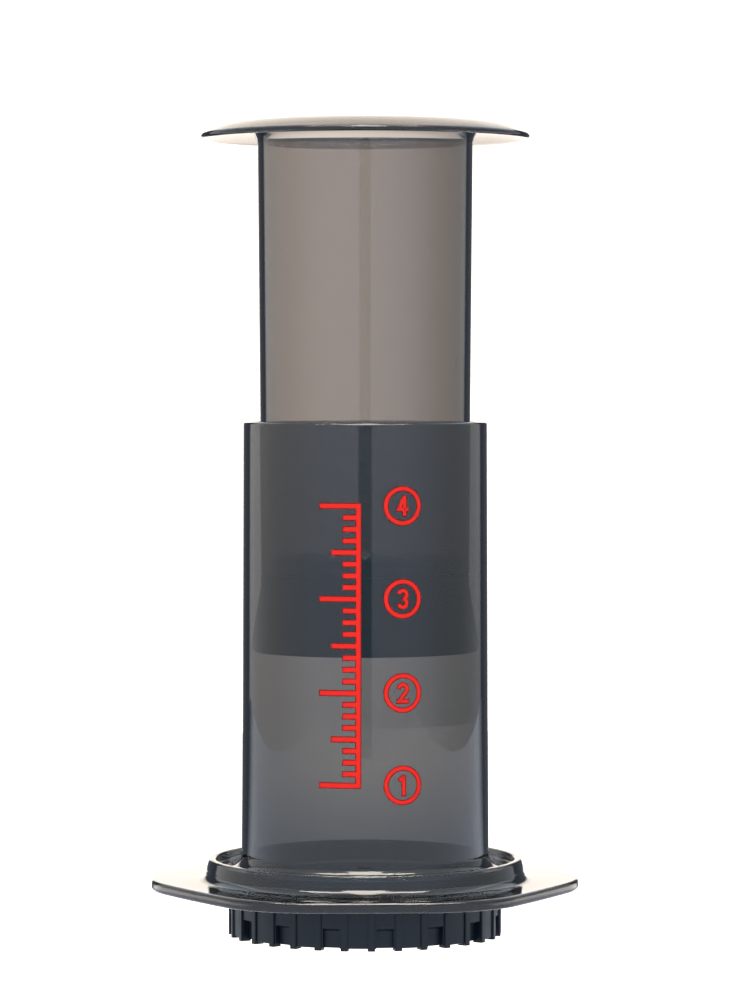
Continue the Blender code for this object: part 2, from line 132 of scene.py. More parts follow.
# %% [markdown]
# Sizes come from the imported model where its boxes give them, and the rest are named here in
# millimetres. Radii are measured from the bore's axis, which is the Z axis, and heights from
# the surface that the press stands on.

# %% Sizes read from the frame
def node_top(node):
    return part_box(node)[1].z


def node_base(node):
    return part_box(node)[0].z


def node_radius(node):
    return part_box(node)[1].x


chamber_base, chamber_top = node_base("chamber"), node_top("chamber")
plunger_base, plunger_top = node_base("plunger"), node_top("plunger")
seal_base, seal_top = node_base("plunger_seal"), node_top("plunger_seal")
paper_base, paper_top = node_base("paper_filter"), node_top("paper_filter")
cap_top, cap_radius = node_top("filter_cap"), node_radius("filter_cap")
flange_radius, seal_radius = node_radius("plunger"), node_radius("plunger_seal")
paper_radius = node_radius("paper_filter")
print("chamber from", round(chamber_base / MM, 2), "to", round(chamber_top / MM, 2), "mm")
print("plunger from", round(plunger_base / MM, 2), "to", round(plunger_top / MM, 2), "mm")

# %% [markdown]
# A moulding such as a tube, a flange or a seal is a profile turned round an axis. The profile is
# a line of points in the plane of radius and height. Round corners are arcs. Where a long
# straight run meets an arc, one more point close to the corner keeps the run's shading flat.
# A bevel could round the corners instead, but arcs give each of them its own radius.

# %% Profile helpers
HOLD_DISTANCE = 0.22 * MM
LONG_RUN = 1.2 * MM


def arc(centre_radius, centre_height, radius, start, end, steps=8):
    """Points of an arc in the plane of radius and height, with angles in degrees."""
    points = []
    for step in range(steps + 1):
        angle = math.radians(start + (end - start) * step / steps)
        points.append((centre_radius + radius * math.cos(angle),
                       centre_height + radius * math.sin(angle)))
    return points


def tag(points, plate=0.0, lug=0.0):
    """Mark points whose radius is measured from the plate's outline, or that carry lugs."""
    return [(radius, height, plate, lug) for radius, height in points]


def hold_runs(profile):
    """Put a point near each end of every long straight run."""
    held = [profile[0]]
    for start, end in zip(profile, profile[1:]):
        length = math.dist(start[:2], end[:2])
        if length > LONG_RUN and start[2:] == end[2:]:
            for share in (HOLD_DISTANCE / length, 1 - HOLD_DISTANCE / length):
                held.append(tuple(a + (b - a) * share for a, b in zip(start, end)))
        held.append(end)
    return held


def profile_object(name, profile):
    """The profile as a mesh of edges, with its tags as point attributes."""
    mesh = bpy.data.meshes.new(name)
    points = [(radius, 0.0, height) for radius, height, plate, lug in profile]
    edges = [(index, index + 1) for index in range(len(points) - 1)]
    mesh.from_pydata(points, edges, [])
    for place, attribute_name in ((2, "plate"), (3, "lug")):
        attribute = mesh.attributes.new(attribute_name, "FLOAT", "POINT")
        attribute.data.foreach_set("value", [point[place] for point in profile])
    return link_object(name, mesh)


print("an eighth of a circle in four steps has", len(arc(0, 0, 1, 0, 45, 4)), "points")

# %% [markdown]
# Geometry Nodes turn every profile, by one tree. It lays out a grid with one row for each point
# of the profile and one column for each step round the axis, and moves each point of the grid
# to its radius, angle and height. Two rules add to the radius. On the seat plate it grows to
# the outline of a hexagon with bowed sides, and on the spigot it grows where a lug stands.
# A screw modifier would turn the round pieces as well, but it knows no such rules.
# A modifier's inputs are set by the sockets' identifiers before the object is evaluated.

# %% Geometry tree helpers
WELD_DISTANCE = 0.0005 * MM


def new_geometry_tree(name, sizes):
    """A tree with a geometry input and named inputs, its node function, and its sizes."""
    tree = bpy.data.node_groups.new(name, "GeometryNodeTree")
    tree.interface.new_socket("Geometry", in_out="INPUT", socket_type="NodeSocketGeometry")
    for socket_name, kind in sizes.items():
        tree.interface.new_socket(socket_name, in_out="INPUT", socket_type="NodeSocket" + kind)
    tree.interface.new_socket("Geometry", in_out="OUTPUT", socket_type="NodeSocketGeometry")
    node = partial(add_node, tree)
    return tree, node, node("NodeGroupInput").outputs


def end_tree(node, size, geometry):
    """Every tree ends by making its instances real and by setting the material."""
    real = node("GeometryNodeRealizeInstances", geometry)
    painted = node("GeometryNodeSetMaterial", {"Geometry": real, "Material": size["Material"]})
    node("NodeGroupOutput", painted)


def run_tree(name, base, tree, values):
    """Evaluate the tree on an object and return the result as a new plain object."""
    modifier = base.modifiers.new(tree.name, "NODES")
    modifier.node_group = tree
    for item in tree.interface.items_tree:
        if item.in_out == "INPUT" and item.name in values:
            modifier[item.identifier] = values[item.name]
    evaluated = base.evaluated_get(bpy.context.evaluated_depsgraph_get())
    mesh = bpy.data.meshes.new_from_object(evaluated)
    base.modifiers.remove(modifier)
    bpy.data.objects.remove(base)
    mesh.name = name
    return link_object(name, mesh)


def face_outwards(piece, sharp_degrees=35):
    """Turn the faces outwards, shade them smooth and keep the real edges sharp."""
    bm = bmesh.new()
    bm.from_mesh(piece.data)
    bmesh.ops.remove_doubles(bm, verts=bm.verts, dist=WELD_DISTANCE)
    if bm.calc_volume(signed=True) < 0:
        bmesh.ops.reverse_faces(bm, faces=bm.faces)
    open_edges = sum(1 for edge in bm.edges if not edge.is_manifold)
    bm.to_mesh(piece.data)
    bm.free()
    piece.data.shade_smooth()
    piece.data.set_sharp_from_angle(angle=math.radians(sharp_degrees))
    triangles = sum(len(face.vertices) - 2 for face in piece.data.polygons)
    print(piece.name, "has", triangles, "triangles and", open_edges, "open edges")


print("points closer than", WELD_DISTANCE / MM, "mm are welded")

# %% [markdown]
# The seat plate's outline is a hexagon whose sides are wide arcs and whose corners are arcs
# tangent to them. All six sectors are alike, so it is worked out from the angle to the nearest
# corner. How far out an arc lies at some angle follows from its centre and radius.

# %% The plate's outline
PLATE_SIDES = 6


def plate_outline(node, size, angle):
    """The outline's radius at an angle."""
    sector = math.tau / PLATE_SIDES
    half = sector / 2
    from_corner = node("ABSOLUTE", node(
        "SUBTRACT", node("FLOORED_MODULO", node("ADD", angle, half), sector), half))
    side_centre = node("SUBTRACT", size["Side Reach"], size["Side Radius"])
    spread = node("SUBTRACT", size["Side Radius"], size["Corner Radius"])
    lean = node("ARCSINE", node(
        "DIVIDE", node("MULTIPLY", side_centre, -math.sin(half)), spread))
    corner_centre = node("ADD", node("MULTIPLY", side_centre, math.cos(half)),
                         node("MULTIPLY", spread, node("COSINE", lean)))
    joint_along = node("MULTIPLY_ADD", size["Corner Radius"], node("COSINE", lean),
                       corner_centre)
    joint_across = node("MULTIPLY", size["Corner Radius"], node("SINE", lean))
    on_corner = node("LESS_THAN", from_corner, node("ARCTAN2", joint_across, joint_along))

    reaches = []
    for centre, radius, offset in (
            (side_centre, size["Side Radius"], node("SUBTRACT", half, from_corner)),
            (corner_centre, size["Corner Radius"], from_corner)):
        across = node("MULTIPLY", centre, node("SINE", offset))
        square = node("SUBTRACT", node("MULTIPLY", radius, radius),
                      node("MULTIPLY", across, across))
        reaches.append(node("MULTIPLY_ADD", centre, node("COSINE", offset),
                            node("SQRT", square)))
    return node("ShaderNodeMix", {0: on_corner, 2: reaches[0], 3: reaches[1]},
                data_type="FLOAT")


def lug_mask(node, size, angle):
    """One over each lug's span, nought between the lugs."""
    pitch = node("DIVIDE", math.tau, size["Lug Count"])
    half = node("DIVIDE", pitch, 2.0)
    from_lug = node("ABSOLUTE", node("SUBTRACT", node(
        "FLOORED_MODULO", node("ADD", node("SUBTRACT", angle, size["Lug Phase"]), half),
        pitch), half))
    return node("LESS_THAN", from_lug, node("DIVIDE", size["Lug Span"], 2.0))


print("the seat plate has", PLATE_SIDES, "sides")

# %% [markdown]
# The tree itself reads the profile row by row and sets each point of its grid in one step.

# %% The tree that turns a profile
def make_turning_tree():
    tree, node, size = new_geometry_tree("turned_moulding", {
        "Segments": "Int", "Side Reach": "Float", "Side Radius": "Float",
        "Corner Radius": "Float", "Lug Depth": "Float", "Lug Span": "Float",
        "Lug Phase": "Float", "Lug Count": "Int", "Material": "Material"})
    rows = node("GeometryNodeAttributeDomainSize", {"Geometry": size["Geometry"]},
                component="MESH").outputs["Point Count"]
    columns = node("ADD", size["Segments"], 1.0)
    grid = node("GeometryNodeMeshGrid", {"Vertices X": columns, "Vertices Y": rows})
    index = node("GeometryNodeInputIndex")
    column = node("FLOOR", node("DIVIDE", node("ADD", index, 0.5), rows))
    row = node("SUBTRACT", index, node("MULTIPLY", column, rows))
    angle = node("MULTIPLY", column, node("DIVIDE", math.tau, size["Segments"]))

    point = node("ShaderNodeSeparateXYZ", node(
        "GeometryNodeSampleIndex",
        {"Geometry": size["Geometry"], "Value": node("GeometryNodeInputPosition"),
         "Index": row}, data_type="FLOAT_VECTOR", domain="POINT")).outputs
    shares = {}
    for name in ("plate", "lug"):
        field = node("GeometryNodeInputNamedAttribute", {"Name": name}, data_type="FLOAT")
        shares[name] = node("GeometryNodeSampleIndex",
                            {"Geometry": size["Geometry"], "Value": field, "Index": row},
                            data_type="FLOAT", domain="POINT")

    outline = node("MULTIPLY", plate_outline(node, size, angle), shares["plate"])
    on_lug = node("MULTIPLY", lug_mask(node, size, angle), shares["lug"])
    radius = node("ADD", node("ADD", point["X"], outline),
                  node("MULTIPLY", on_lug, size["Lug Depth"]))
    place = node("ShaderNodeCombineXYZ", node("MULTIPLY", radius, node("COSINE", angle)),
                 node("MULTIPLY", radius, node("SINE", angle)), point["Z"])
    moved = node("GeometryNodeSetPosition",
                 {"Geometry": grid.outputs["Mesh"], "Position": place})
    welded = node("GeometryNodeMergeByDistance", {"Geometry": moved, "Distance": WELD_DISTANCE})
    end_tree(node, size, welded)
    return tree


turning_tree = make_turning_tree()
print("turning tree has", len(turning_tree.nodes), "nodes")

# %% [markdown]
# A turned piece runs its profile through that tree and becomes a plain mesh, shaded smooth but
# for the real edges. With 240 steps a turn no outline shows corners at the picture's size.

# %% Turning a profile
ROUND_SEGMENTS = 240

# A round piece tags no point, but the two rules still need an outline and a lug to work out
UNUSED_RULES = {"Side Reach": 1.0, "Side Radius": 2.0, "Corner Radius": 0.5, "Lug Count": 1}


def turn_profile(name, profile, material, segments=ROUND_SEGMENTS, **more):
    """Turn a tagged profile round the Z axis and return the finished piece."""
    base = profile_object(name + "_profile", hold_runs(profile))
    values = {**UNUSED_RULES, "Segments": segments, "Material": material, **more}
    piece = run_tree(name, base, turning_tree, values)
    face_outwards(piece)
    return piece


print("round pieces get", ROUND_SEGMENTS, "segments")

# %% [markdown]
# The smoke-clear plastic is copolyester, injection moulded in a polished tool. Its surface is
# glossy, so it is a dielectric with a low roughness. Its grey is in the depth of the plastic:
# light is absorbed along its way through the wall, which makes edges seen end-on dark and thin
# walls light. So the shader stays clear, and a volume absorbs. A grey surface colour would be
# quicker, but would tint thin and thick walls alike. The faint waviness is the flow of the
# melt, about 9 mm from crest to crest and far shallower than a hair.

# %% Smoke-clear copolyester
FLOW_WAVE = 9.0 * MM
FLOW_DEPTH = 0.0015 * MM
POLISH_WAVE = 2.5 * MM


def make_smoke_copolyester(name, tint, density_per_mm):
    """Clear shell whose volume absorbs; the tint is what the depth lets through."""
    material, node, place = new_material(name)
    flow = node("ShaderNodeTexNoise",
                {"Vector": place, "Scale": 1 / FLOW_WAVE, "Detail": 2.0, "Roughness": 0.4})
    polish = node("ShaderNodeTexNoise",
                  {"Vector": place, "Scale": 1 / POLISH_WAVE, "Detail": 3.0})
    rough = node("ShaderNodeMapRange", {"Value": polish, "From Min": 0.3, "From Max": 0.7,
                                        "To Min": 0.0, "To Max": 0.02})
    bump = node("ShaderNodeBump", {"Height": flow, "Strength": 1.0, "Distance": FLOW_DEPTH})
    shader = node("ShaderNodeBsdfPrincipled",
                  {"Base Color": (1.0, 1.0, 1.0, 1.0), "Roughness": rough, "IOR": 1.55,
                   "Transmission Weight": 1.0, "Normal": bump})
    depth = node("ShaderNodeVolumeAbsorption", {"Color": tint, "Density": density_per_mm / MM})
    node("ShaderNodeOutputMaterial", {"Surface": shader, "Volume": depth})
    return material


chamber_plastic = make_smoke_copolyester(
    "smoke_copolyester_chamber", tint=linear("#595a5d"), density_per_mm=0.66)
plunger_plastic = make_smoke_copolyester(
    "smoke_copolyester_plunger", tint=linear("#897c70"), density_per_mm=0.69)
print("two grades of smoke-clear copolyester")

# %% [markdown]
# The chamber is one moulding. Its bore follows from the seal and its foot from the cap: the
# recess clears the cap, the moat's floor covers the recess, and the collar rises and the plate
# hangs from that floor. What can't be worked out so is named here once, in millimetres.

# %% Chamber sizes
SEAL_CLEARANCE = 0.25 * MM
bore_radius = seal_radius + SEAL_CLEARANCE
CHAMBER_WALL = 1.95 * MM
CHAMBER_DRAFT = 0.4 * MM
RIM_ROUNDING = 0.6 * MM
FLARE_RADIUS = 3.3 * MM
SPIGOT_WALL = 1.85 * MM
SPIGOT_END_ROUNDING = 0.4 * MM
RECESS_HEADROOM = 1.0 * MM
RECESS_CLEARANCE = 3.8 * MM
RECESS_FILLET = 0.8 * MM
MOAT_FLOOR_THICKNESS = 2.0 * MM
MOAT_FILLET = 1.1 * MM
COLLAR_STEP = 1.4 * MM
COLLAR_RISE = 2.2 * MM
COLLAR_WALL = 2.0 * MM
COLLAR_EDGE_ROUNDING = 0.7 * MM
COLLAR_DRAFT = 0.45 * MM
COLLAR_FILLET = 2.5 * MM
PLATE_DROP = 5.95 * MM
PLATE_THICKNESS = 2.8 * MM
PLATE_EDGE_ROUNDING = 0.8 * MM
PLATE_BORDER = 11.25 * MM
PLATE_SIDE_RADIUS = 325.7 * MM
PLATE_CORNER_RADIUS = 27.0 * MM
LUG_DEPTH = 1.3 * MM
LUG_UNDERSIDE = 1.3 * MM
LUG_HEIGHT = 2.0 * MM
LUG_COUNT = 4
LUG_SPAN = math.radians(24)
LUG_PHASE = math.radians(45)

chamber_top_radius = bore_radius + CHAMBER_WALL
chamber_base_radius = chamber_top_radius + CHAMBER_DRAFT
spigot_radius = bore_radius + SPIGOT_WALL
recess_radius = cap_radius + RECESS_CLEARANCE
collar_radius = recess_radius + COLLAR_STEP
recess_ceiling = cap_top + RECESS_HEADROOM
moat_floor = recess_ceiling + MOAT_FLOOR_THICKNESS
collar_top = moat_floor + COLLAR_RISE
plate_underside = moat_floor - PLATE_DROP
plate_top = plate_underside + PLATE_THICKNESS
print("bore", round(2 * bore_radius / MM, 2), "mm, plate top at", round(plate_top / MM, 2), "mm")

# %% [markdown]
# Its profile runs once round the wall: over the rim, down the outside, through the flare into
# the moat, over the collar, out to the plate's edge, back along the plate's underside, round
# the recess above the cap, and up the spigot and the bore. It ends where it began, so that the
# wall closes. The plate's edge and the lugs are tagged for the tree's two rules.

# %% Chamber
FILLET_STEPS = 12


def chamber_profile():
    rim = chamber_top - RIM_ROUNDING
    upper = arc(bore_radius + RIM_ROUNDING, rim, RIM_ROUNDING, 180, 90)
    upper += arc(chamber_top_radius - RIM_ROUNDING, rim, RIM_ROUNDING, 90, 0)
    upper += arc(chamber_base_radius + FLARE_RADIUS, moat_floor + FLARE_RADIUS,
                 FLARE_RADIUS, 180, 270, FILLET_STEPS)
    edge_height = collar_top - COLLAR_EDGE_ROUNDING
    inner = collar_radius - COLLAR_WALL
    upper += arc(inner - MOAT_FILLET, moat_floor + MOAT_FILLET, MOAT_FILLET, -90, 0)
    upper += arc(inner + COLLAR_EDGE_ROUNDING, edge_height, COLLAR_EDGE_ROUNDING, 180, 90)
    upper += arc(collar_radius - COLLAR_EDGE_ROUNDING, edge_height, COLLAR_EDGE_ROUNDING, 90, 0)
    upper += arc(collar_radius + COLLAR_DRAFT + COLLAR_FILLET, plate_top + COLLAR_FILLET,
                 COLLAR_FILLET, 180, 270, FILLET_STEPS)
    edge = arc(-PLATE_EDGE_ROUNDING, plate_top - PLATE_EDGE_ROUNDING, PLATE_EDGE_ROUNDING, 90, 0)
    edge += arc(-PLATE_EDGE_ROUNDING, plate_underside + PLATE_EDGE_ROUNDING,
                PLATE_EDGE_ROUNDING, 0, -90)
    inset = tag([(edge[0][0] - HOLD_DISTANCE, edge[0][1])], plate=1.0)
    below = tag([(edge[-1][0] - HOLD_DISTANCE, edge[-1][1])], plate=1.0)
    lower = [(recess_radius, plate_underside)]
    lower += arc(recess_radius - RECESS_FILLET, recess_ceiling - RECESS_FILLET,
                 RECESS_FILLET, 0, 90)
    lower += arc(spigot_radius + RECESS_FILLET, recess_ceiling - RECESS_FILLET,
                 RECESS_FILLET, 90, 180)
    lug_base = chamber_base + LUG_UNDERSIDE
    lug_top = lug_base + LUG_HEIGHT
    lugs = tag([(spigot_radius, lug_top)]) + tag([(spigot_radius, lug_top)], lug=1.0)
    lugs += tag([(spigot_radius, lug_base)], lug=1.0) + tag([(spigot_radius, lug_base)])
    end = arc(spigot_radius - SPIGOT_END_ROUNDING, chamber_base + SPIGOT_END_ROUNDING,
              SPIGOT_END_ROUNDING, 0, -90)
    end += arc(bore_radius + SPIGOT_END_ROUNDING, chamber_base + SPIGOT_END_ROUNDING,
               SPIGOT_END_ROUNDING, -90, -180)
    profile = tag(upper) + inset + tag(edge, plate=1.0) + below + tag(lower) + lugs + tag(end)
    return profile + profile[:1]


chamber = turn_profile(
    "chamber_moulding", chamber_profile(), chamber_plastic,
    **{"Side Reach": collar_radius + PLATE_BORDER, "Side Radius": PLATE_SIDE_RADIUS,
       "Corner Radius": PLATE_CORNER_RADIUS, "Lug Depth": LUG_DEPTH, "Lug Count": LUG_COUNT,
       "Lug Span": LUG_SPAN, "Lug Phase": LUG_PHASE})

# %% [markdown]
# The plunger is a tube with a closed plug for the seal at its lower end and a wide, thin flange
# for the palm at its top. It is one moulding too, and hollow down to the plug, so one profile
# gives it all. The flange is a dished shell of even thickness. Its upper side is an arc that
# leaves the crest level and runs down into the round rim, and a wide fillet joins its underside
# to the tube. That fillet bends the light of the backdrop up to the eye.

# %% Plunger
TUBE_CLEARANCE = 1.8 * MM
TUBE_DRAFT = 0.95 * MM
TUBE_WALL = 1.75 * MM
PLUG_LENGTH = 14.7 * MM
PLUG_STEP = 2.3 * MM
PLUG_WALL = 1.7 * MM
PLUG_FLOOR = 2.2 * MM
BEAD_DEPTH = 1.0 * MM
BEAD_HEIGHT = 2.5 * MM
BEAD_SLOPE = 0.5 * MM
FLANGE_THICKNESS = 1.6 * MM
FLANGE_DROP = 3.6 * MM
FLANGE_CREST_REACH = 3.95 * MM
FLANGE_NECK_FILLET = 3.95 * MM
MOUTH_ROUNDING = 3.0 * MM
DOME_STEPS = 24
FLANGE_RIM_STEPS = 24
MOUTH_STEPS = 20

tube_top_radius = bore_radius - TUBE_CLEARANCE
tube_base_radius = tube_top_radius - TUBE_DRAFT
plug_radius = tube_base_radius - PLUG_STEP
bead_radius = plug_radius + BEAD_DEPTH


def plunger_profile():
    shoulder = plunger_base + PLUG_LENGTH
    outside = [(0.0, plunger_base), (bead_radius - BEAD_SLOPE, plunger_base),
               (bead_radius, plunger_base + BEAD_SLOPE), (bead_radius, plunger_base + BEAD_HEIGHT),
               (plug_radius, plunger_base + BEAD_HEIGHT + BEAD_SLOPE), (plug_radius, shoulder),
               (tube_base_radius, shoulder)]
    half = FLANGE_THICKNESS / 2
    rim_radius, rim_height = flange_radius - half, plunger_top - FLANGE_DROP
    crest_radius = tube_top_radius + FLANGE_CREST_REACH
    run = rim_radius - crest_radius
    dome_radius = (run ** 2 + FLANGE_DROP ** 2 - half ** 2) / (2 * (FLANGE_DROP - half))
    dome_centre = plunger_top - dome_radius
    slope = math.degrees(math.asin(run / (dome_radius - half)))
    outside += arc(tube_top_radius + FLANGE_NECK_FILLET,
                   plunger_top - FLANGE_THICKNESS - FLANGE_NECK_FILLET,
                   FLANGE_NECK_FILLET, 180, 90, FILLET_STEPS)
    outside += arc(crest_radius, dome_centre, dome_radius - FLANGE_THICKNESS,
                   90, 90 - slope, DOME_STEPS)[:-1]
    outside += arc(rim_radius, rim_height, half, -90 - slope, 90 - slope, FLANGE_RIM_STEPS)
    outside += arc(crest_radius, dome_centre, dome_radius, 90 - slope, 90, DOME_STEPS)[1:]
    mouth = tube_top_radius - TUBE_WALL
    tube_bore, plug_bore = tube_base_radius - TUBE_WALL, plug_radius - PLUG_WALL
    inside = arc(mouth + MOUTH_ROUNDING, plunger_top - MOUTH_ROUNDING, MOUTH_ROUNDING,
                 90, 180, MOUTH_STEPS)
    inside += [(tube_bore, shoulder + PLUG_FLOOR + TUBE_WALL),
               (plug_bore, shoulder + PLUG_FLOOR), (plug_bore, plunger_base + PLUG_FLOOR),
               (0.0, plunger_base + PLUG_FLOOR)]
    return tag(outside + inside)


plunger = turn_profile("plunger_moulding", plunger_profile(), plunger_plastic)

# %% [markdown]
# The seal is a cup of black silicone rubber, compression moulded in a tool with a fine matt
# surface. It stretches over the plug's bead. Its lip wipes the bore, and a cone leads from the
# lip up to the tube. Rubber reflects little, so it has a rough, dark surface, and the tool's
# grain shows as a bump of a few hundredths of a millimetre, drawn here at 0.6 mm so that it
# shows at all.

# %% Seal rubber
RUBBER_GRAIN = 0.6 * MM
RUBBER_GRAIN_DEPTH = 0.02 * MM
RUBBER_BLOOM = 12.0 * MM


def make_silicone_rubber(name):
    """Matt rubber whose grey varies a little, as bloom does."""
    material, node, place = new_material(name)
    grain = node("ShaderNodeTexNoise",
                 {"Vector": place, "Scale": 1 / RUBBER_GRAIN, "Detail": 3.0})
    bloom = node("ShaderNodeTexNoise",
                 {"Vector": place, "Scale": 1 / RUBBER_BLOOM, "Detail": 3.0})
    shade = lay_over(node, linear("#1d1e21"), (bloom, linear("#26282b")))
    bump = node("ShaderNodeBump", {"Height": grain, "Distance": RUBBER_GRAIN_DEPTH})
    shader = node("ShaderNodeBsdfPrincipled",
                  {"Base Color": shade, "Roughness": 0.55, "IOR": 1.41, "Normal": bump})
    node("ShaderNodeOutputMaterial", {"Surface": shader})
    return material


seal_rubber = make_silicone_rubber("silicone_rubber_moulded")
print("rubber grain drawn at", RUBBER_GRAIN / MM, "mm")

# %% [markdown]
# The cup's profile runs under its floor, up the lip and the cone, and back down inside, where a
# groove leaves room round the plug's bead.

# %% Seal
FIT_GAP = 0.3 * MM
SEAL_FLOOR = 5.3 * MM
SEAL_EDGE_ROUNDING = 1.6 * MM
SEAL_LIP_HEIGHT = 2.2 * MM
SEAL_BAND_HEIGHT = 3.0 * MM
SEAL_TOP_ROUNDING = 0.4 * MM


def seal_profile():
    floor_top = seal_base + SEAL_FLOOR
    groove, cavity = bead_radius + FIT_GAP, plug_radius + FIT_GAP
    groove_top = floor_top + FIT_GAP + BEAD_HEIGHT + FIT_GAP / 2
    points = [(0.0, seal_base)]
    points += arc(seal_radius - SEAL_EDGE_ROUNDING, seal_base + SEAL_EDGE_ROUNDING,
                  SEAL_EDGE_ROUNDING, -90, 0)
    points += [(seal_radius, seal_base + SEAL_LIP_HEIGHT),
               (tube_base_radius, seal_top - SEAL_BAND_HEIGHT)]
    points += arc(tube_base_radius - SEAL_TOP_ROUNDING, seal_top - SEAL_TOP_ROUNDING,
                  SEAL_TOP_ROUNDING, 0, 90)
    points += [(cavity, seal_top), (cavity, groove_top + BEAD_SLOPE), (groove, groove_top),
               (groove, floor_top), (0.0, floor_top)]
    return tag(points)


seal = turn_profile("seal_cup", seal_profile(), seal_rubber)

# %% [markdown]
# The filter cap is blue-black polypropylene with a satin moulded grain. It begins as a turned
# ring with a floor. A second tree then repeats what the mould repeats: 32 ribs that end in feet,
# 16 windows between every second pair of them, and 97 holes in a centre hole and five rings.
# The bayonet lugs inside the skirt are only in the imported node, because nothing of them shows.

# %% Polypropylene
CAP_GRAIN = 0.5 * MM
CAP_GRAIN_DEPTH = 0.015 * MM
CAP_PATCH = 7.0 * MM


def make_polypropylene(name):
    """Satin plastic whose gloss and shade vary in soft patches."""
    material, node, place = new_material(name)
    grain = node("ShaderNodeTexNoise", {"Vector": place, "Scale": 1 / CAP_GRAIN, "Detail": 4.0})
    patch = node("ShaderNodeTexNoise", {"Vector": place, "Scale": 1 / CAP_PATCH, "Detail": 2.0})
    shade = lay_over(node, linear("#091219"), (patch, linear("#0f1a24")))
    rough = node("ShaderNodeMapRange", {"Value": patch, "From Min": 0.3, "From Max": 0.7,
                                        "To Min": 0.34, "To Max": 0.46})
    bump = node("ShaderNodeBump", {"Height": grain, "Distance": CAP_GRAIN_DEPTH})
    shader = node("ShaderNodeBsdfPrincipled",
                  {"Base Color": shade, "Roughness": rough, "IOR": 1.49,
                   "Specular IOR Level": 0.3, "Normal": bump})
    node("ShaderNodeOutputMaterial", {"Surface": shader})
    return material


cap_plastic = make_polypropylene("polypropylene_satin_moulded")
print("cap grain drawn at", CAP_GRAIN / MM, "mm")

# %% [markdown]
# Ribs and windows are one small block each, turned round the axis by instances, and the holes
# are pins. The tree joins the ribs to the ring with a boolean union and cuts windows and holes
# with a difference. Separate ribs would look alike, but would not be one closed moulding.

# %% The tree of ribs, windows and holes
def make_cap_tree(hole_counts):
    tree, node, size = new_geometry_tree("ribbed_perforated_cap", {
        "Rib": "Object", "Window": "Object", "Rib Count": "Int", "Rib Phase": "Float",
        "Window Count": "Int", "Window Phase": "Float", "Hole Radius": "Float",
        "Hole Sides": "Int", "Ring Pitch": "Float", "Hole Depth": "Float",
        "Hole Height": "Float", "Material": "Material"})
    index = node("GeometryNodeInputIndex")

    def around(count, phase):
        """The turn of each copy: its number times the pitch, and the phase."""
        return node("MULTIPLY_ADD", index, node("DIVIDE", math.tau, count), phase)

    blocks = {}
    for name in ("Rib", "Window"):
        count = size[name + " Count"]
        points = node("GeometryNodePoints", {"Count": count})
        turned = node("ShaderNodeCombineXYZ", {"Z": around(count, size[name + " Phase"])})
        shape = node("GeometryNodeObjectInfo", {"Object": size[name]})
        copies = node("GeometryNodeInstanceOnPoints",
                      {"Points": points, "Instance": shape.outputs["Geometry"],
                       "Rotation": turned})
        blocks[name] = node("GeometryNodeRealizeInstances", copies)

    pin = node("GeometryNodeMeshCylinder",
               {"Vertices": size["Hole Sides"], "Radius": size["Hole Radius"],
                "Depth": size["Hole Depth"]})
    pins = node("GeometryNodeJoinGeometry")
    for ring, count in enumerate(hole_counts):
        reach = node("MULTIPLY", size["Ring Pitch"], float(ring))
        start = node("ShaderNodeCombineXYZ", {"X": reach, "Z": size["Hole Height"]})
        place = node("ShaderNodeVectorRotate",
                     {"Vector": start, "Angle": around(float(count), 0.0)},
                     rotation_type="Z_AXIS")
        points = node("GeometryNodePoints", {"Count": count, "Position": place})
        ring_pins = node("GeometryNodeInstanceOnPoints",
                         {"Points": points, "Instance": pin.outputs["Mesh"]})
        tree.links.new(ring_pins.outputs[0], pins.inputs[0])
    real_pins = node("GeometryNodeRealizeInstances", pins)

    ribbed = node("GeometryNodeMeshBoolean", operation="UNION", solver="EXACT")
    tree.links.new(blocks["Rib"].outputs[0], ribbed.inputs["Mesh 2"])
    tree.links.new(size["Geometry"], ribbed.inputs["Mesh 2"])
    cut = node("GeometryNodeMeshBoolean", {"Mesh 1": ribbed},
               operation="DIFFERENCE", solver="EXACT")
    tree.links.new(blocks["Window"].outputs[0], cut.inputs["Mesh 2"])
    tree.links.new(real_pins.outputs[0], cut.inputs["Mesh 2"])
    end_tree(node, size, cut)
    return tree


HOLE_COUNTS = (1, 6, 12, 18, 24, 36)
cap_tree = make_cap_tree(HOLE_COUNTS)
print("cap tree has", len(cap_tree.nodes), "nodes for", sum(HOLE_COUNTS), "holes")

# %% [markdown]
# The ring that carries the ribs and windows is turned, as the other pieces are. It begins where
# the feet end, 0.6 mm up, and has a small chamfer at both ends of the skirt.

# %% The cap's ring
HOLE_MARGIN = 3.65 * MM
HOLE_RADIUS = 1.1 * MM
HOLE_SIDES = 20
CAP_SEGMENTS = 192
RIB_COUNT = 32
RIB_WIDTH = 1.84 * MM
RIB_DEPTH = 0.45 * MM
RIB_EDGE_ROUNDING = 0.22 * MM
FOOT_HEIGHT = 0.6 * MM
FOOT_LENGTH = 2.6 * MM
FOOT_WALL = 3.3 * MM
CAP_WALL = 2.25 * MM
CAP_CHAMFER = 0.4 * MM
CAP_FLOOR_UNDERSIDE = 2.2 * MM
CAP_FLOOR_THICKNESS = 1.8 * MM
WINDOW_COUNT = 16
WINDOW_PHASE = math.radians(6.5)
WINDOW_WIDTH = 4.35 * MM
WINDOW_DEPTH = 1.6 * MM
WINDOW_TOP = 5.6 * MM
WINDOW_BEVEL = 0.7 * MM
OVERRUN = 1.0 * MM
cap_floor_top = CAP_FLOOR_UNDERSIDE + CAP_FLOOR_THICKNESS


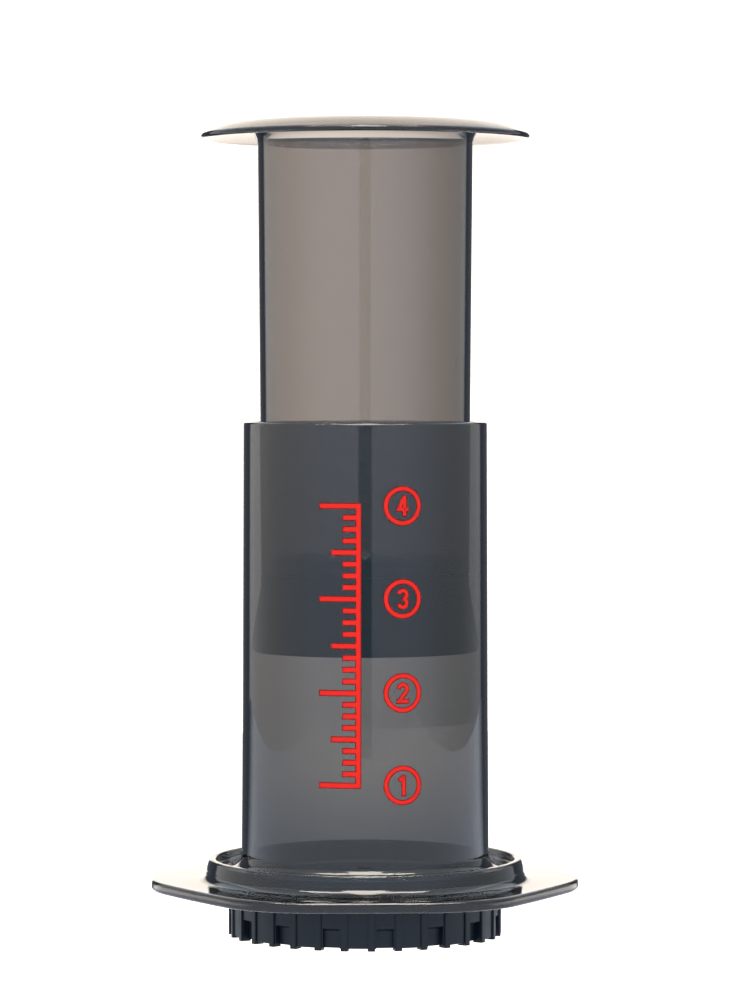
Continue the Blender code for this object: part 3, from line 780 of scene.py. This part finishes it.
def cap_ring_profile():
    skirt, bore = cap_radius - RIB_DEPTH, cap_radius - CAP_WALL
    cavity = cap_radius - FOOT_WALL
    return tag([(0.0, CAP_FLOOR_UNDERSIDE), (cavity, CAP_FLOOR_UNDERSIDE),
                (cavity, FOOT_HEIGHT), (skirt - CAP_CHAMFER / 2, FOOT_HEIGHT),
                (skirt, FOOT_HEIGHT + CAP_CHAMFER / 2), (skirt, cap_top - CAP_CHAMFER),
                (skirt - CAP_CHAMFER, cap_top), (bore, cap_top), (bore, cap_floor_top),
                (0.0, cap_floor_top)])


print("cap", round(2 * cap_radius / MM, 2), "mm wide,", len(cap_ring_profile()), "ring points")

# %% [markdown]
# A rib and a window are outlines in radius and height that get a width. Only the rib's outer
# edges are rounded, which is where its gloss line runs.

# %% Rib and window blocks
RIB_ROUNDING_STEPS = 3


def block_from_outline(name, outline, width, rounding=0.0):
    """A block: an outline in radius and height, as wide as given, with rounded edges."""
    bm = bmesh.new()
    sides = [[bm.verts.new((radius, across, height)) for radius, height in outline]
             for across in (-width / 2, width / 2)]
    bm.faces.new(sides[0])
    bm.faces.new(reversed(sides[1]))
    for index in range(len(outline)):
        step = (index + 1) % len(outline)
        bm.faces.new((sides[0][step], sides[0][index], sides[1][index], sides[1][step]))
    bmesh.ops.recalc_face_normals(bm, faces=bm.faces)
    if rounding:
        outer = max(radius for radius, height in outline)
        edges = [edge for edge in bm.edges
                 if all(abs(vertex.co.x - outer) < WELD_DISTANCE for vertex in edge.verts)
                 and abs(edge.verts[0].co.z - edge.verts[1].co.z) > rounding]
        bmesh.ops.bevel(bm, geom=edges, offset=rounding, segments=RIB_ROUNDING_STEPS,
                        affect="EDGES")
    mesh = bpy.data.meshes.new(name)
    bm.to_mesh(mesh)
    bm.free()
    return link_object(name, mesh)


print("ribs are", RIB_WIDTH / MM, "mm wide and windows", WINDOW_WIDTH / MM, "mm")

# %% [markdown]
# The tree joins them. The windows run past the skirt outwards and below it, and the pins run
# past both sides of the floor, so that no two faces lie in one plane where the boolean cuts.

# %% Cap
def make_cap():
    inside = cap_radius - CAP_WALL + FIT_GAP
    rib = block_from_outline("rib_block", [
        (cap_radius - FOOT_LENGTH, 0.0), (cap_radius, 0.0), (cap_radius, cap_top - CAP_CHAMFER),
        (cap_radius - CAP_CHAMFER, cap_top), (inside, cap_top), (inside, FOOT_HEIGHT * 2),
        (cap_radius - FOOT_LENGTH, FOOT_HEIGHT * 2)], RIB_WIDTH, RIB_EDGE_ROUNDING)
    window_floor = cap_radius - RIB_DEPTH - WINDOW_DEPTH
    window = block_from_outline("window_block", [
        (window_floor, -OVERRUN), (cap_radius + OVERRUN, -OVERRUN),
        (cap_radius + OVERRUN, WINDOW_TOP), (cap_radius - RIB_DEPTH, WINDOW_TOP),
        (window_floor, WINDOW_TOP - WINDOW_BEVEL)], WINDOW_WIDTH)
    base = turn_profile("cap_ring", cap_ring_profile(), cap_plastic, segments=CAP_SEGMENTS)
    pitch = (bore_radius - HOLE_MARGIN) / (len(HOLE_COUNTS) - 1)
    cap = run_tree("cap_moulding", base, cap_tree, {
        "Rib": rib, "Window": window, "Rib Count": RIB_COUNT,
        "Rib Phase": WINDOW_PHASE + math.pi / RIB_COUNT, "Window Count": WINDOW_COUNT,
        "Window Phase": WINDOW_PHASE, "Hole Radius": HOLE_RADIUS, "Hole Sides": HOLE_SIDES,
        "Ring Pitch": pitch, "Hole Depth": CAP_FLOOR_THICKNESS + 2 * OVERRUN,
        "Hole Height": cap_floor_top - CAP_FLOOR_THICKNESS / 2, "Material": cap_plastic})
    bpy.data.objects.remove(rib)
    bpy.data.objects.remove(window)
    face_outwards(cap, sharp_degrees=28)
    return cap


cap = make_cap()

# %% [markdown]
# The paper filter is a disc of unglazed crepe paper. Nothing of it shows in the photograph, but
# it is what holds the coffee back, so it lies on the cap's floor. Its fibres are drawn as
# stretched noise, about half a millimetre long.

# %% Paper filter
FIBRE = 0.5 * MM
FIBRE_STRETCH = 0.4
FIBRE_DEPTH = 0.05 * MM
PAPER_SEGMENTS = 120


def make_filter_paper(name):
    """Dull white paper with its fibres drawn out along Y."""
    material, node, place = new_material(name)
    stretched = node("ShaderNodeMapping",
                     {"Vector": place, "Scale": (1 / FIBRE, FIBRE_STRETCH / FIBRE, 1 / FIBRE)})
    fibres = node("ShaderNodeTexNoise",
                  {"Vector": stretched, "Scale": 1.0, "Detail": 5.0, "Distortion": 1.2})
    shade = lay_over(node, linear("#d8cfc0"), (fibres, linear("#f4efe6")))
    bump = node("ShaderNodeBump", {"Height": fibres, "Distance": FIBRE_DEPTH})
    shader = node("ShaderNodeBsdfPrincipled",
                  {"Base Color": shade, "Roughness": 0.95, "Normal": bump})
    node("ShaderNodeOutputMaterial", {"Surface": shader})
    return material


paper_fibre = make_filter_paper("crepe_filter_paper")
paper = turn_profile("paper_disc", tag([
    (0.0, paper_base), (paper_radius, paper_base), (paper_radius, paper_top),
    (0.0, paper_top)]), paper_fibre, segments=PAPER_SEGMENTS)

# %% [markdown]
# The chamber carries red marks, pad-printed on the outside: four circled numbers, as the real
# one has, and beside them a plain scale of this part's own. Pad printing lays a film of ink a
# few hundredths of a millimetre thick. It has a darker rim, where the ink's edge thins out over
# the dark plastic. The ink is opaque and dull, and mottled at about 0.8 mm.

# %% Printing ink
INK_MOTTLE = 0.8 * MM


def make_printing_ink(name, colour):
    """Dull opaque ink whose roughness is mottled."""
    material, node, place = new_material(name)
    mottle = node("ShaderNodeTexNoise", {"Vector": place, "Scale": 1 / INK_MOTTLE, "Detail": 3.0})
    rough = node("ShaderNodeMapRange", {"Value": mottle, "From Min": 0.3, "From Max": 0.7,
                                        "To Min": 0.5, "To Max": 0.7})
    shader = node("ShaderNodeBsdfPrincipled",
                  {"Base Color": linear(colour), "Roughness": rough, "IOR": 1.5,
                   "Specular IOR Level": 0.12})
    node("ShaderNodeOutputMaterial", {"Surface": shader})
    return material


ink_red = make_printing_ink("pad_printed_red_ink", "#b01912")
ink_rim = make_printing_ink("pad_printed_ink_rim", "#540e0b")
print("ink colours made")

# %% [markdown]
# The marks are drawn flat from plain shapes: a ring, a bar, and a band of even width along a
# line. A font could draw the figures, but bands keep the printed stroke's even width.

# %% Flat shapes of the marks
RING_SIDES = 96


def add_flat_ring(bm, outer, stroke, centre_height):
    rings = []
    for radius in (outer, outer - stroke):
        rings.append([bm.verts.new((radius * math.cos(math.tau * i / RING_SIDES),
                                    centre_height + radius * math.sin(math.tau * i / RING_SIDES),
                                    0.0)) for i in range(RING_SIDES)])
    for index in range(RING_SIDES):
        step = (index + 1) % RING_SIDES
        bm.faces.new((rings[0][index], rings[0][step], rings[1][step], rings[1][index]))


def add_flat_bar(bm, left, right, low, high):
    bm.faces.new([bm.verts.new((x, y, 0.0)) for x, y in
                  ((left, low), (right, low), (right, high), (left, high))])


def add_flat_line(bm, points, width, grow):
    """A band of even width along a line of points, with mitred bends and flat ends."""
    places = [Vector(point) for point in points]
    places[0] += (places[0] - places[1]).normalized() * grow
    places[-1] += (places[-1] - places[-2]).normalized() * grow
    pairs = []
    for index, place in enumerate(places):
        before = (place - places[max(index, 1) - 1]).normalized()
        after = (places[min(index + 1, len(places) - 1)] - place).normalized()
        along = (before + after).normalized()
        across = Vector((-along.y, along.x)) * (width / 2 + grow)
        bend = max(along.dot(before), along.dot(after))
        pairs.append([bm.verts.new((*(place + across * side / bend), 0.0)) for side in (-1, 1)])
    for (low, high), (next_low, next_high) in zip(pairs, pairs[1:]):
        bm.faces.new((low, next_low, next_high, high))


print("a printed ring has", RING_SIDES, "sides")

# %% [markdown]
# Each figure is two or three lines through the middle of its strokes. Round bends are arcs in
# degrees, and the other points are shares of the figure's half height and half width.

# %% Figures
DIGIT_HEIGHT = 5.0 * MM
DIGIT_WIDTH = 3.0 * MM
DIGIT_STROKE = 0.8 * MM
BOWL_STEPS = 14


def figure_lines(digit):
    """Centre-lines of a figure's strokes, from the middle of the figure."""
    top = DIGIT_HEIGHT / 2
    reach, side = top - DIGIT_STROKE / 2, (DIGIT_WIDTH - DIGIT_STROKE) / 2
    edge = DIGIT_WIDTH / 2
    if digit == "1":
        stem = 0.2 * side
        return [[(-0.85 * side, 0.62 * reach), (stem, reach)], [(stem, top), (stem, -top)]]
    if digit == "2":
        return [arc(0, reach - side, side, 170, -35, BOWL_STEPS) + [(-0.9 * side, -reach)],
                [(-edge, -reach), (edge, -reach)]]
    if digit == "3":
        bowl = reach / 2
        return [arc(0, bowl, bowl, 165, -90, BOWL_STEPS),
                arc(0, -bowl, bowl, 90, -165, BOWL_STEPS)]
    stem, bar = 0.45 * side, -0.4 * reach
    return [[(stem - DIGIT_STROKE / 4, reach), (-0.9 * side, bar)], [(-edge, bar), (edge, bar)],
            [(stem, top), (stem, -top)]]


print("figures are", DIGIT_HEIGHT / MM, "mm high")

# %% [markdown]
# The flat shapes are cut into narrow strips so that they bend smoothly, get the thickness of a
# film, and are laid round the chamber, whose wall leans in a little towards the top.

# %% Wrapping the marks
STRIP_WIDTH = 0.35 * MM


def wrap_on_chamber(bm, centre_angle, low, high):
    """Cut flat faces into strips, give them a film's thickness and bend them round."""
    reach = max(abs(vertex.co.x) for vertex in bm.verts)
    cuts = int(reach / STRIP_WIDTH)
    for number in range(-cuts, cuts + 1):
        geometry = bm.verts[:] + bm.edges[:] + bm.faces[:]
        bmesh.ops.bisect_plane(bm, geom=geometry, plane_co=(number * STRIP_WIDTH, 0.0, 0.0),
                               plane_no=(1.0, 0.0, 0.0), dist=WELD_DISTANCE)
    bmesh.ops.remove_doubles(bm, verts=bm.verts, dist=WELD_DISTANCE)
    raised = bmesh.ops.extrude_face_region(bm, geom=bm.faces[:])["geom"]
    for vertex in bm.verts:
        vertex.co.z = low
    for vertex in raised:
        if isinstance(vertex, bmesh.types.BMVert):
            vertex.co.z = high
    straight_base = moat_floor + FLARE_RADIUS
    straight_top = chamber_top - RIM_ROUNDING
    for vertex in bm.verts:
        along = (vertex.co.y - straight_base) / (straight_top - straight_base)
        radius = chamber_base_radius - CHAMBER_DRAFT * along
        angle = centre_angle + vertex.co.x / radius
        film = radius + vertex.co.z
        vertex.co = Vector((film * math.cos(angle), film * math.sin(angle), vertex.co.y))
    bmesh.ops.recalc_face_normals(bm, faces=bm.faces)


print("marks are cut into strips of", STRIP_WIDTH / MM, "mm")

# %% [markdown]
# The scale runs from the lowest number to the highest, with eight steps between two numbers:
# a full bar at each number, a shorter one half way, and short ones between.

# %% Fill scale
LEVELS = {"1": 41.4 * MM, "2": 64.7 * MM, "3": 88.4 * MM, "4": 111.8 * MM}
SCALE_WIDTH = 10.5 * MM
BAR_SHARES = (1.0, 0.42, 0.42, 0.42, 0.70, 0.42, 0.42, 0.42)
BAR_STROKE = 1.1 * MM


def scale_bars(grow):
    """Left, right, lower and upper edge of each bar of the scale and of its spine."""
    levels = sorted(LEVELS.values())
    right = SCALE_WIDTH / 2
    bars = [(right - BAR_STROKE - grow, right + grow,
             levels[0] - BAR_STROKE / 2 - grow, levels[-1] + BAR_STROKE / 2 + grow)]
    for low, high in zip(levels, levels[1:]):
        for number, share in enumerate(BAR_SHARES):
            height = low + (high - low) * number / len(BAR_SHARES)
            bars.append((right - SCALE_WIDTH * share - grow, right - BAR_STROKE - grow,
                         height - BAR_STROKE / 2 - grow, height + BAR_STROKE / 2 + grow))
    bars.append((right - SCALE_WIDTH - grow, right - BAR_STROKE - grow,
                 levels[-1] - BAR_STROKE / 2 - grow, levels[-1] + BAR_STROKE / 2 + grow))
    return bars


print("the scale has", len(scale_bars(0.0)), "bars, its spine among them")

# %% [markdown]
# The same drawing makes two pieces: the ink, and its rim, which is a little wider and lower.
# Every mark is wrapped on its own and then joined to the rest.

# %% Circled numbers and scale on the chamber
NUMBER_ANGLE = math.radians(285.6)
SCALE_ANGLE = math.radians(256.7)
RING_RADIUS = 4.82 * MM
RING_STROKE = 0.92 * MM
RIM_WIDTH = 0.24 * MM
FILM_BASE = 0.01 * MM
FILM_RIM = 0.03 * MM
FILM_TOP = 0.06 * MM


def make_marks(name, material, grow, top):
    """All marks as one piece, drawn wider by what they grow, up to a height over the wall."""
    whole, mesh = bmesh.new(), bpy.data.meshes.new(name)

    def add_wrapped(bm, centre_angle):
        wrap_on_chamber(bm, centre_angle, FILM_BASE, top)
        bm.to_mesh(mesh)
        bm.free()
        whole.from_mesh(mesh)

    for digit, height in LEVELS.items():
        bm = bmesh.new()
        add_flat_ring(bm, RING_RADIUS + grow, RING_STROKE + 2 * grow, height)
        for line in figure_lines(digit):
            add_flat_line(bm, [(x, y + height) for x, y in line], DIGIT_STROKE, grow)
        add_wrapped(bm, NUMBER_ANGLE)
    bm = bmesh.new()
    for bar in scale_bars(grow):
        add_flat_bar(bm, *bar)
    add_wrapped(bm, SCALE_ANGLE)
    whole.to_mesh(mesh)
    whole.free()
    mesh.materials.append(material)
    print(name, "has", len(mesh.polygons), "faces")
    return link_object(name, mesh)


fill_marks = make_marks("fill_marks", ink_red, 0.0, FILM_TOP)
fill_mark_rims = make_marks("fill_mark_rims", ink_rim, RIM_WIDTH, FILM_RIM)

# %% [markdown]
# Each moulding, and the paper, rides on the body that it belongs to and takes the place of the
# imported node that it was built over, which is hidden. The printed marks have no node of their
# own, so they only ride.

# %% Pieces onto their bodies
for piece, body, node, finish in (
        (chamber, "chamber", "chamber", "smoke_clear_plastic"),
        (plunger, "plunger", "plunger", "smoke_clear_plastic"),
        (seal, "plunger", "plunger_seal", "seal_rubber"),
        (cap, "cap", "filter_cap", "cap_plastic"),
        (paper, "cap", "paper_filter", "filter_paper")):
    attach(piece, body)
    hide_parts(node)
for piece in (fill_marks, fill_mark_rims):
    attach(piece, "chamber")
print("pieces on the bodies chamber, plunger and cap")

# %% [markdown]
# The camera stands where the photograph was taken from: about 1.1 m away, at two thirds of the
# press's height, and turned down by less than two degrees. The curves of the round edges give
# that height, and the seat plate's corners give the small turn about the axis.

# %% Camera
PHOTO_HEIGHT_PX = 1000
FOCAL_PX = 4199.8
SENSOR_MM = 36.0
CAMERA_DISTANCE = 1085.3 * MM
CAMERA_HEIGHT = 145.3 * MM
CAMERA_ASIDE = 0.62 * MM
CAMERA_AZIMUTH = math.radians(-1.8)
CAMERA_PITCH = math.radians(1.738)
CLIP_NEAR, CLIP_FAR = 10 * MM, 20.0

camera_data = bpy.data.cameras.new("camera")
camera_data.sensor_width = SENSOR_MM
camera_data.lens = FOCAL_PX * SENSOR_MM / PHOTO_HEIGHT_PX
camera_data.clip_start, camera_data.clip_end = CLIP_NEAR, CLIP_FAR
camera = link_object("camera", camera_data)
away = Vector((math.sin(CAMERA_AZIMUTH), -math.cos(CAMERA_AZIMUTH), 0.0))
right = Vector((math.cos(CAMERA_AZIMUTH), math.sin(CAMERA_AZIMUTH), 0.0))
camera.location = away * CAMERA_DISTANCE + right * CAMERA_ASIDE
camera.location.z = CAMERA_HEIGHT
camera.rotation_euler = (math.pi / 2 - CAMERA_PITCH, 0.0, CAMERA_AZIMUTH)
bpy.context.scene.camera = camera
print("lens", round(camera_data.lens, 1), "mm")

# %% [markdown]
# Clear plastic looks like what stands around it, so the studio makes the picture. A few lamps
# would leave it dull, because it shows only what it mirrors and bends. Seen through the press,
# the studio is a white backdrop, brighter than white in the picture, and slightly warm. The
# backdrop is only a strip: it rises from the floor behind the press and sweeps over it. Beside
# it the room is dark, and light that was bounced sideways inside a wall comes from there, which
# draws the dark bands along the tubes' edges. In front stand two large cool panels with a gap
# between them for the camera, which is the dark stripe down the tubes. They reach round past
# the press's sides, where they turn plain white on the left and dimmer on the right. A pale
# ceiling lights the plate, and above the camera hangs a bright softbox in the form of a cross:
# its long bar draws the thin lines on the round edges, its stem the line on the straight one.
# All of it is one world. The number of reflections on a ray's way tells the two apart: light
# that only passed through sees the backdrop, and reflected light sees the whole room.

# %% Studio values
BACKDROP_WHITE = (2.0, 1.84, 1.67, 1.0)
BACKDROP_RIGHT_SHARE = 0.68
BACKDROP_HALF_WIDTH = math.sin(math.radians(14))
BACKDROP_TOP = math.radians(82)
ROOM_DARK = (0.12, 0.135, 0.17, 1.0)
GAP_COOL = (0.40, 0.62, 0.80, 1.0)
PANEL_COOL = (1.05, 1.22, 1.50, 1.0)
PANEL_WIDE_LEFT = (1.05, 1.06, 1.08, 1.0)
PANEL_WIDE_RIGHT = (0.68, 0.74, 0.80, 1.0)
PANEL_WIDE_FROM = math.radians(35)
PANEL_WIDE_TO = math.radians(110)
CEILING = (1.2, 1.33, 1.45, 1.0)
CEILING_LOW = math.radians(24)
FRONT_FLOOR_SHARE = 0.85
PANEL_GAP = math.radians(6.2)
PANEL_GAP_HIGH = math.radians(7)
PANEL_END = math.radians(138)
PANEL_HIGH = math.radians(22)
SOFTBOX_WARM = (14.0, 13.1, 11.9, 1.0)
SOFTBOX_END = math.radians(62)
SOFTBOX_LOW = math.radians(49)
SOFTBOX_HIGH = math.radians(64)
SOFTBOX_STEM_END = math.radians(18)
SOFTBOX_STEM_LOW = math.radians(32)
SOFTBOX_STEM_HIGH = math.radians(80)
NO_LOWER_LIMIT = -math.pi
SHARP = math.radians(1.0)
BACKDROP_SOFT_SIDE = 0.06
BACKDROP_SOFT_TOP = math.radians(9)
BACKDROP_DIM_FROM, BACKDROP_DIM_TO = -0.01, 0.11
PANEL_SOFT_END = math.radians(3)
PANEL_SOFT_HIGH = math.radians(4)
PANEL_SIDE_CHANGE = 0.1
PANEL_GAP_LOW = math.radians(-4.9)
PANEL_GAP_LOW_SOFT = math.radians(0.2)
FRONT_FLOOR_LOW = math.radians(-4.5)
CEILING_SOFT = math.radians(3)
print("the softbox is", SOFTBOX_WARM[0] / BACKDROP_WHITE[0], "times as bright as the backdrop")

# %% [markdown]
# The world works every field out from the direction that the light comes from: how far it is
# to the side of the camera's bearing, and how high. It lays the fields over one another, from
# the dark room to the softbox. No picture of a room is needed, and each border can be moved.

# %% Studio
def make_world():
    world = bpy.data.worlds.new("studio")
    bpy.context.scene.world = world
    world.use_nodes = True
    world.node_tree.nodes.clear()
    node = partial(add_node, world.node_tree)
    place = node("ShaderNodeTexCoord").outputs["Generated"]
    x, y, z = node("ShaderNodeSeparateXYZ", place).outputs
    aside = node("ABSOLUTE", node(
        "SUBTRACT", node("ARCTAN2", x, node("MULTIPLY", y, -1.0)), CAMERA_AZIMUTH))
    height = node("ARCSINE", z)
    over = node("ARCTAN2", z, y)

    def field(end, low, high, soft_end=SHARP, soft_height=SHARP):
        """A field of the room: as far aside as given to both sides, between two heights."""
        return node("MULTIPLY", between(node, aside, NO_LOWER_LIMIT, end, soft_end),
                    between(node, height, low, high, soft_height))

    backdrop = node("MULTIPLY", between(node, x, -BACKDROP_HALF_WIDTH, BACKDROP_HALF_WIDTH,
                                        BACKDROP_SOFT_SIDE),
                    between(node, over, -math.pi / 2, BACKDROP_TOP, BACKDROP_SOFT_TOP))
    ceiling = between(node, height, CEILING_LOW, math.pi, CEILING_SOFT)
    front = field(PANEL_END, NO_LOWER_LIMIT, PANEL_HIGH, PANEL_SOFT_END, PANEL_SOFT_HIGH)
    in_gap = field(PANEL_GAP, PANEL_GAP_LOW, PANEL_GAP_HIGH, SHARP, PANEL_GAP_LOW_SOFT)
    softbox = node("MAXIMUM", field(SOFTBOX_END, SOFTBOX_LOW, SOFTBOX_HIGH),
                   field(SOFTBOX_STEM_END, SOFTBOX_STEM_LOW, SOFTBOX_STEM_HIGH))

    wide = node("ShaderNodeMapRange",
                {"Value": aside, "From Min": PANEL_WIDE_FROM, "From Max": PANEL_WIDE_TO},
                interpolation_type="SMOOTHSTEP")
    to_right = node("ShaderNodeMapRange", {"Value": x, "From Min": -PANEL_SIDE_CHANGE,
                                           "From Max": PANEL_SIDE_CHANGE})
    far_side = lay_over(node, PANEL_WIDE_LEFT, (to_right, PANEL_WIDE_RIGHT))
    falling = node("ShaderNodeMapRange",
                   {"Value": height, "From Min": FRONT_FLOOR_LOW, "From Max": 0.0,
                    "To Min": FRONT_FLOOR_SHARE, "To Max": 1.0})
    cool = node("ShaderNodeVectorMath",
                {0: lay_over(node, PANEL_COOL, (wide, far_side), (in_gap, GAP_COOL)),
                 "Scale": falling}, operation="SCALE")
    room = lay_over(node, ROOM_DARK, (ceiling, CEILING), (backdrop, BACKDROP_WHITE),
                    (front, cool), (softbox, SOFTBOX_WARM))

    rays = node("ShaderNodeLightPath").outputs
    bounced = node("MINIMUM", node("ADD", rays["Glossy Depth"], rays["Diffuse Depth"]), 1.0)
    dimming = node("ShaderNodeMapRange",
                   {"Value": x, "From Min": BACKDROP_DIM_FROM, "From Max": BACKDROP_DIM_TO,
                    "To Min": 1.0, "To Max": BACKDROP_RIGHT_SHARE})
    through = node("ShaderNodeVectorMath", {0: BACKDROP_WHITE[:3], "Scale": dimming},
                   operation="SCALE")
    background = node("ShaderNodeBackground", lay_over(node, through, (bounced, room)))
    node("ShaderNodeOutputWorld", background)
    print("studio world has", len(world.node_tree.nodes), "nodes")


make_world()

# %% [markdown]
# The floor could be one plain white, but then the plate would look as pale as what it stands
# over. It is as white as the backdrop where the camera sees it. Seen through the press it has a
# painted shadow of the press: a little darker and cooler close behind the foot, whitening further
# back, which shades the plate. Reflected light finds four zones: a white wedge behind the press,
# dark floor on both sides of the wedge, which keeps the tubes' edges dark, cool white from there
# to the front, and in it, on either side of the press, a bright warm arc that only the plate's low
# sides mirror.

# %% Floor
FLOOR_REACH = 0.6
FLOOR_FRONT = (1.1, 1.2, 1.38, 1.0)
FLOOR_ASIDE = (2.5, 2.3, 2.2, 1.0)
# Painted shadow of the press on the floor, seen only through the press
FLOOR_SHADE = (0.9, 1.0, 1.1, 1.0)
FLOOR_SHADE_NEAR = 120 * MM
FLOOR_SHADE_FAR = 480 * MM
FLOOR_WEDGE = math.radians(14)
FLOOR_ASIDE_NEAR = 125 * MM
FLOOR_ASIDE_FAR = 200 * MM
FLOOR_ASIDE_BEARING = math.radians(48)
FLOOR_FRONT_BEARING = math.radians(118)
FLOOR_BEARING_SOFT = math.radians(8)
FLOOR_WEDGE_SOFT = math.radians(3)
FLOOR_DISTANCE_SOFT = 10 * MM
FLOOR_LEVEL = -0.05 * MM


def make_floor():
    corners = [(x * FLOOR_REACH, y * FLOOR_REACH, FLOOR_LEVEL)
               for x, y in ((-1, -1), (1, -1), (1, 1), (-1, 1))]
    mesh = bpy.data.meshes.new("floor")
    mesh.from_pydata(corners, [], [(0, 1, 2, 3)])
    floor = link_object("floor", mesh)
    material, node, place = new_material("white_floor")

    def past(value, border, soft):
        """Nought before a border, one past it, with a soft step."""
        return node("ShaderNodeMapRange", {"Value": value, "From Min": border - soft,
                                           "From Max": border + soft},
                    interpolation_type="SMOOTHSTEP")

    x, y = node("ShaderNodeSeparateXYZ", place).outputs[:2]
    bearing = node("ABSOLUTE", node("ARCTAN2", x, y))
    away = node("ShaderNodeVectorMath", place, operation="LENGTH")
    ring = lay_over(node, FLOOR_FRONT,
                    (past(away, FLOOR_ASIDE_NEAR, FLOOR_DISTANCE_SOFT), FLOOR_ASIDE),
                    (past(away, FLOOR_ASIDE_FAR, FLOOR_DISTANCE_SOFT), FLOOR_FRONT))
    room = FLOOR_FRONT
    for border, soft, colour in ((FLOOR_FRONT_BEARING, FLOOR_BEARING_SOFT, ring),
                                 (FLOOR_ASIDE_BEARING, FLOOR_BEARING_SOFT, ROOM_DARK),
                                 (FLOOR_WEDGE, FLOOR_WEDGE_SOFT, BACKDROP_WHITE)):
        room = lay_over(node, colour, (past(bearing, border, soft), room))

    # far fades the painted shadow out to plain white further back behind the press
    far = node("ShaderNodeMapRange",
               {"Value": y, "From Min": FLOOR_SHADE_NEAR, "From Max": FLOOR_SHADE_FAR},
               interpolation_type="SMOOTHSTEP")
    rays = node("ShaderNodeLightPath").outputs
    bounced = node("ShaderNodeMath", rays["Glossy Depth"], rays["Diffuse Depth"],
                   operation="ADD", use_clamp=True)
    # Rays that passed through the press see the painted shadow; the camera sees plain white,
    # reflected rays the room
    colour = lay_over(node, FLOOR_SHADE, (far, BACKDROP_WHITE),
                      (rays["Is Camera Ray"], BACKDROP_WHITE), (bounced, room))
    node("ShaderNodeOutputMaterial", node("ShaderNodeEmission", colour))
    mesh.materials.append(material)
    print("floor is", 2 * FLOOR_REACH, "m wide")


make_floor()

# %% [markdown]
# Light may cross eight or more surfaces on its way through both tubes, and it bounces inside
# the thick plate, so the path limits are raised. The plain view transform keeps whites white.

# %% Light paths
paths = bpy.context.scene.cycles
paths.max_bounces, paths.transmission_bounces = 24, 24
paths.glossy_bounces = 10
bpy.context.scene.view_settings.view_transform = "Standard"
print("up to", paths.max_bounces, "bounces")

# %% [markdown]
# The dressed press must keep the imported model's size.

# %% End of the script
print("the dressed press is built")
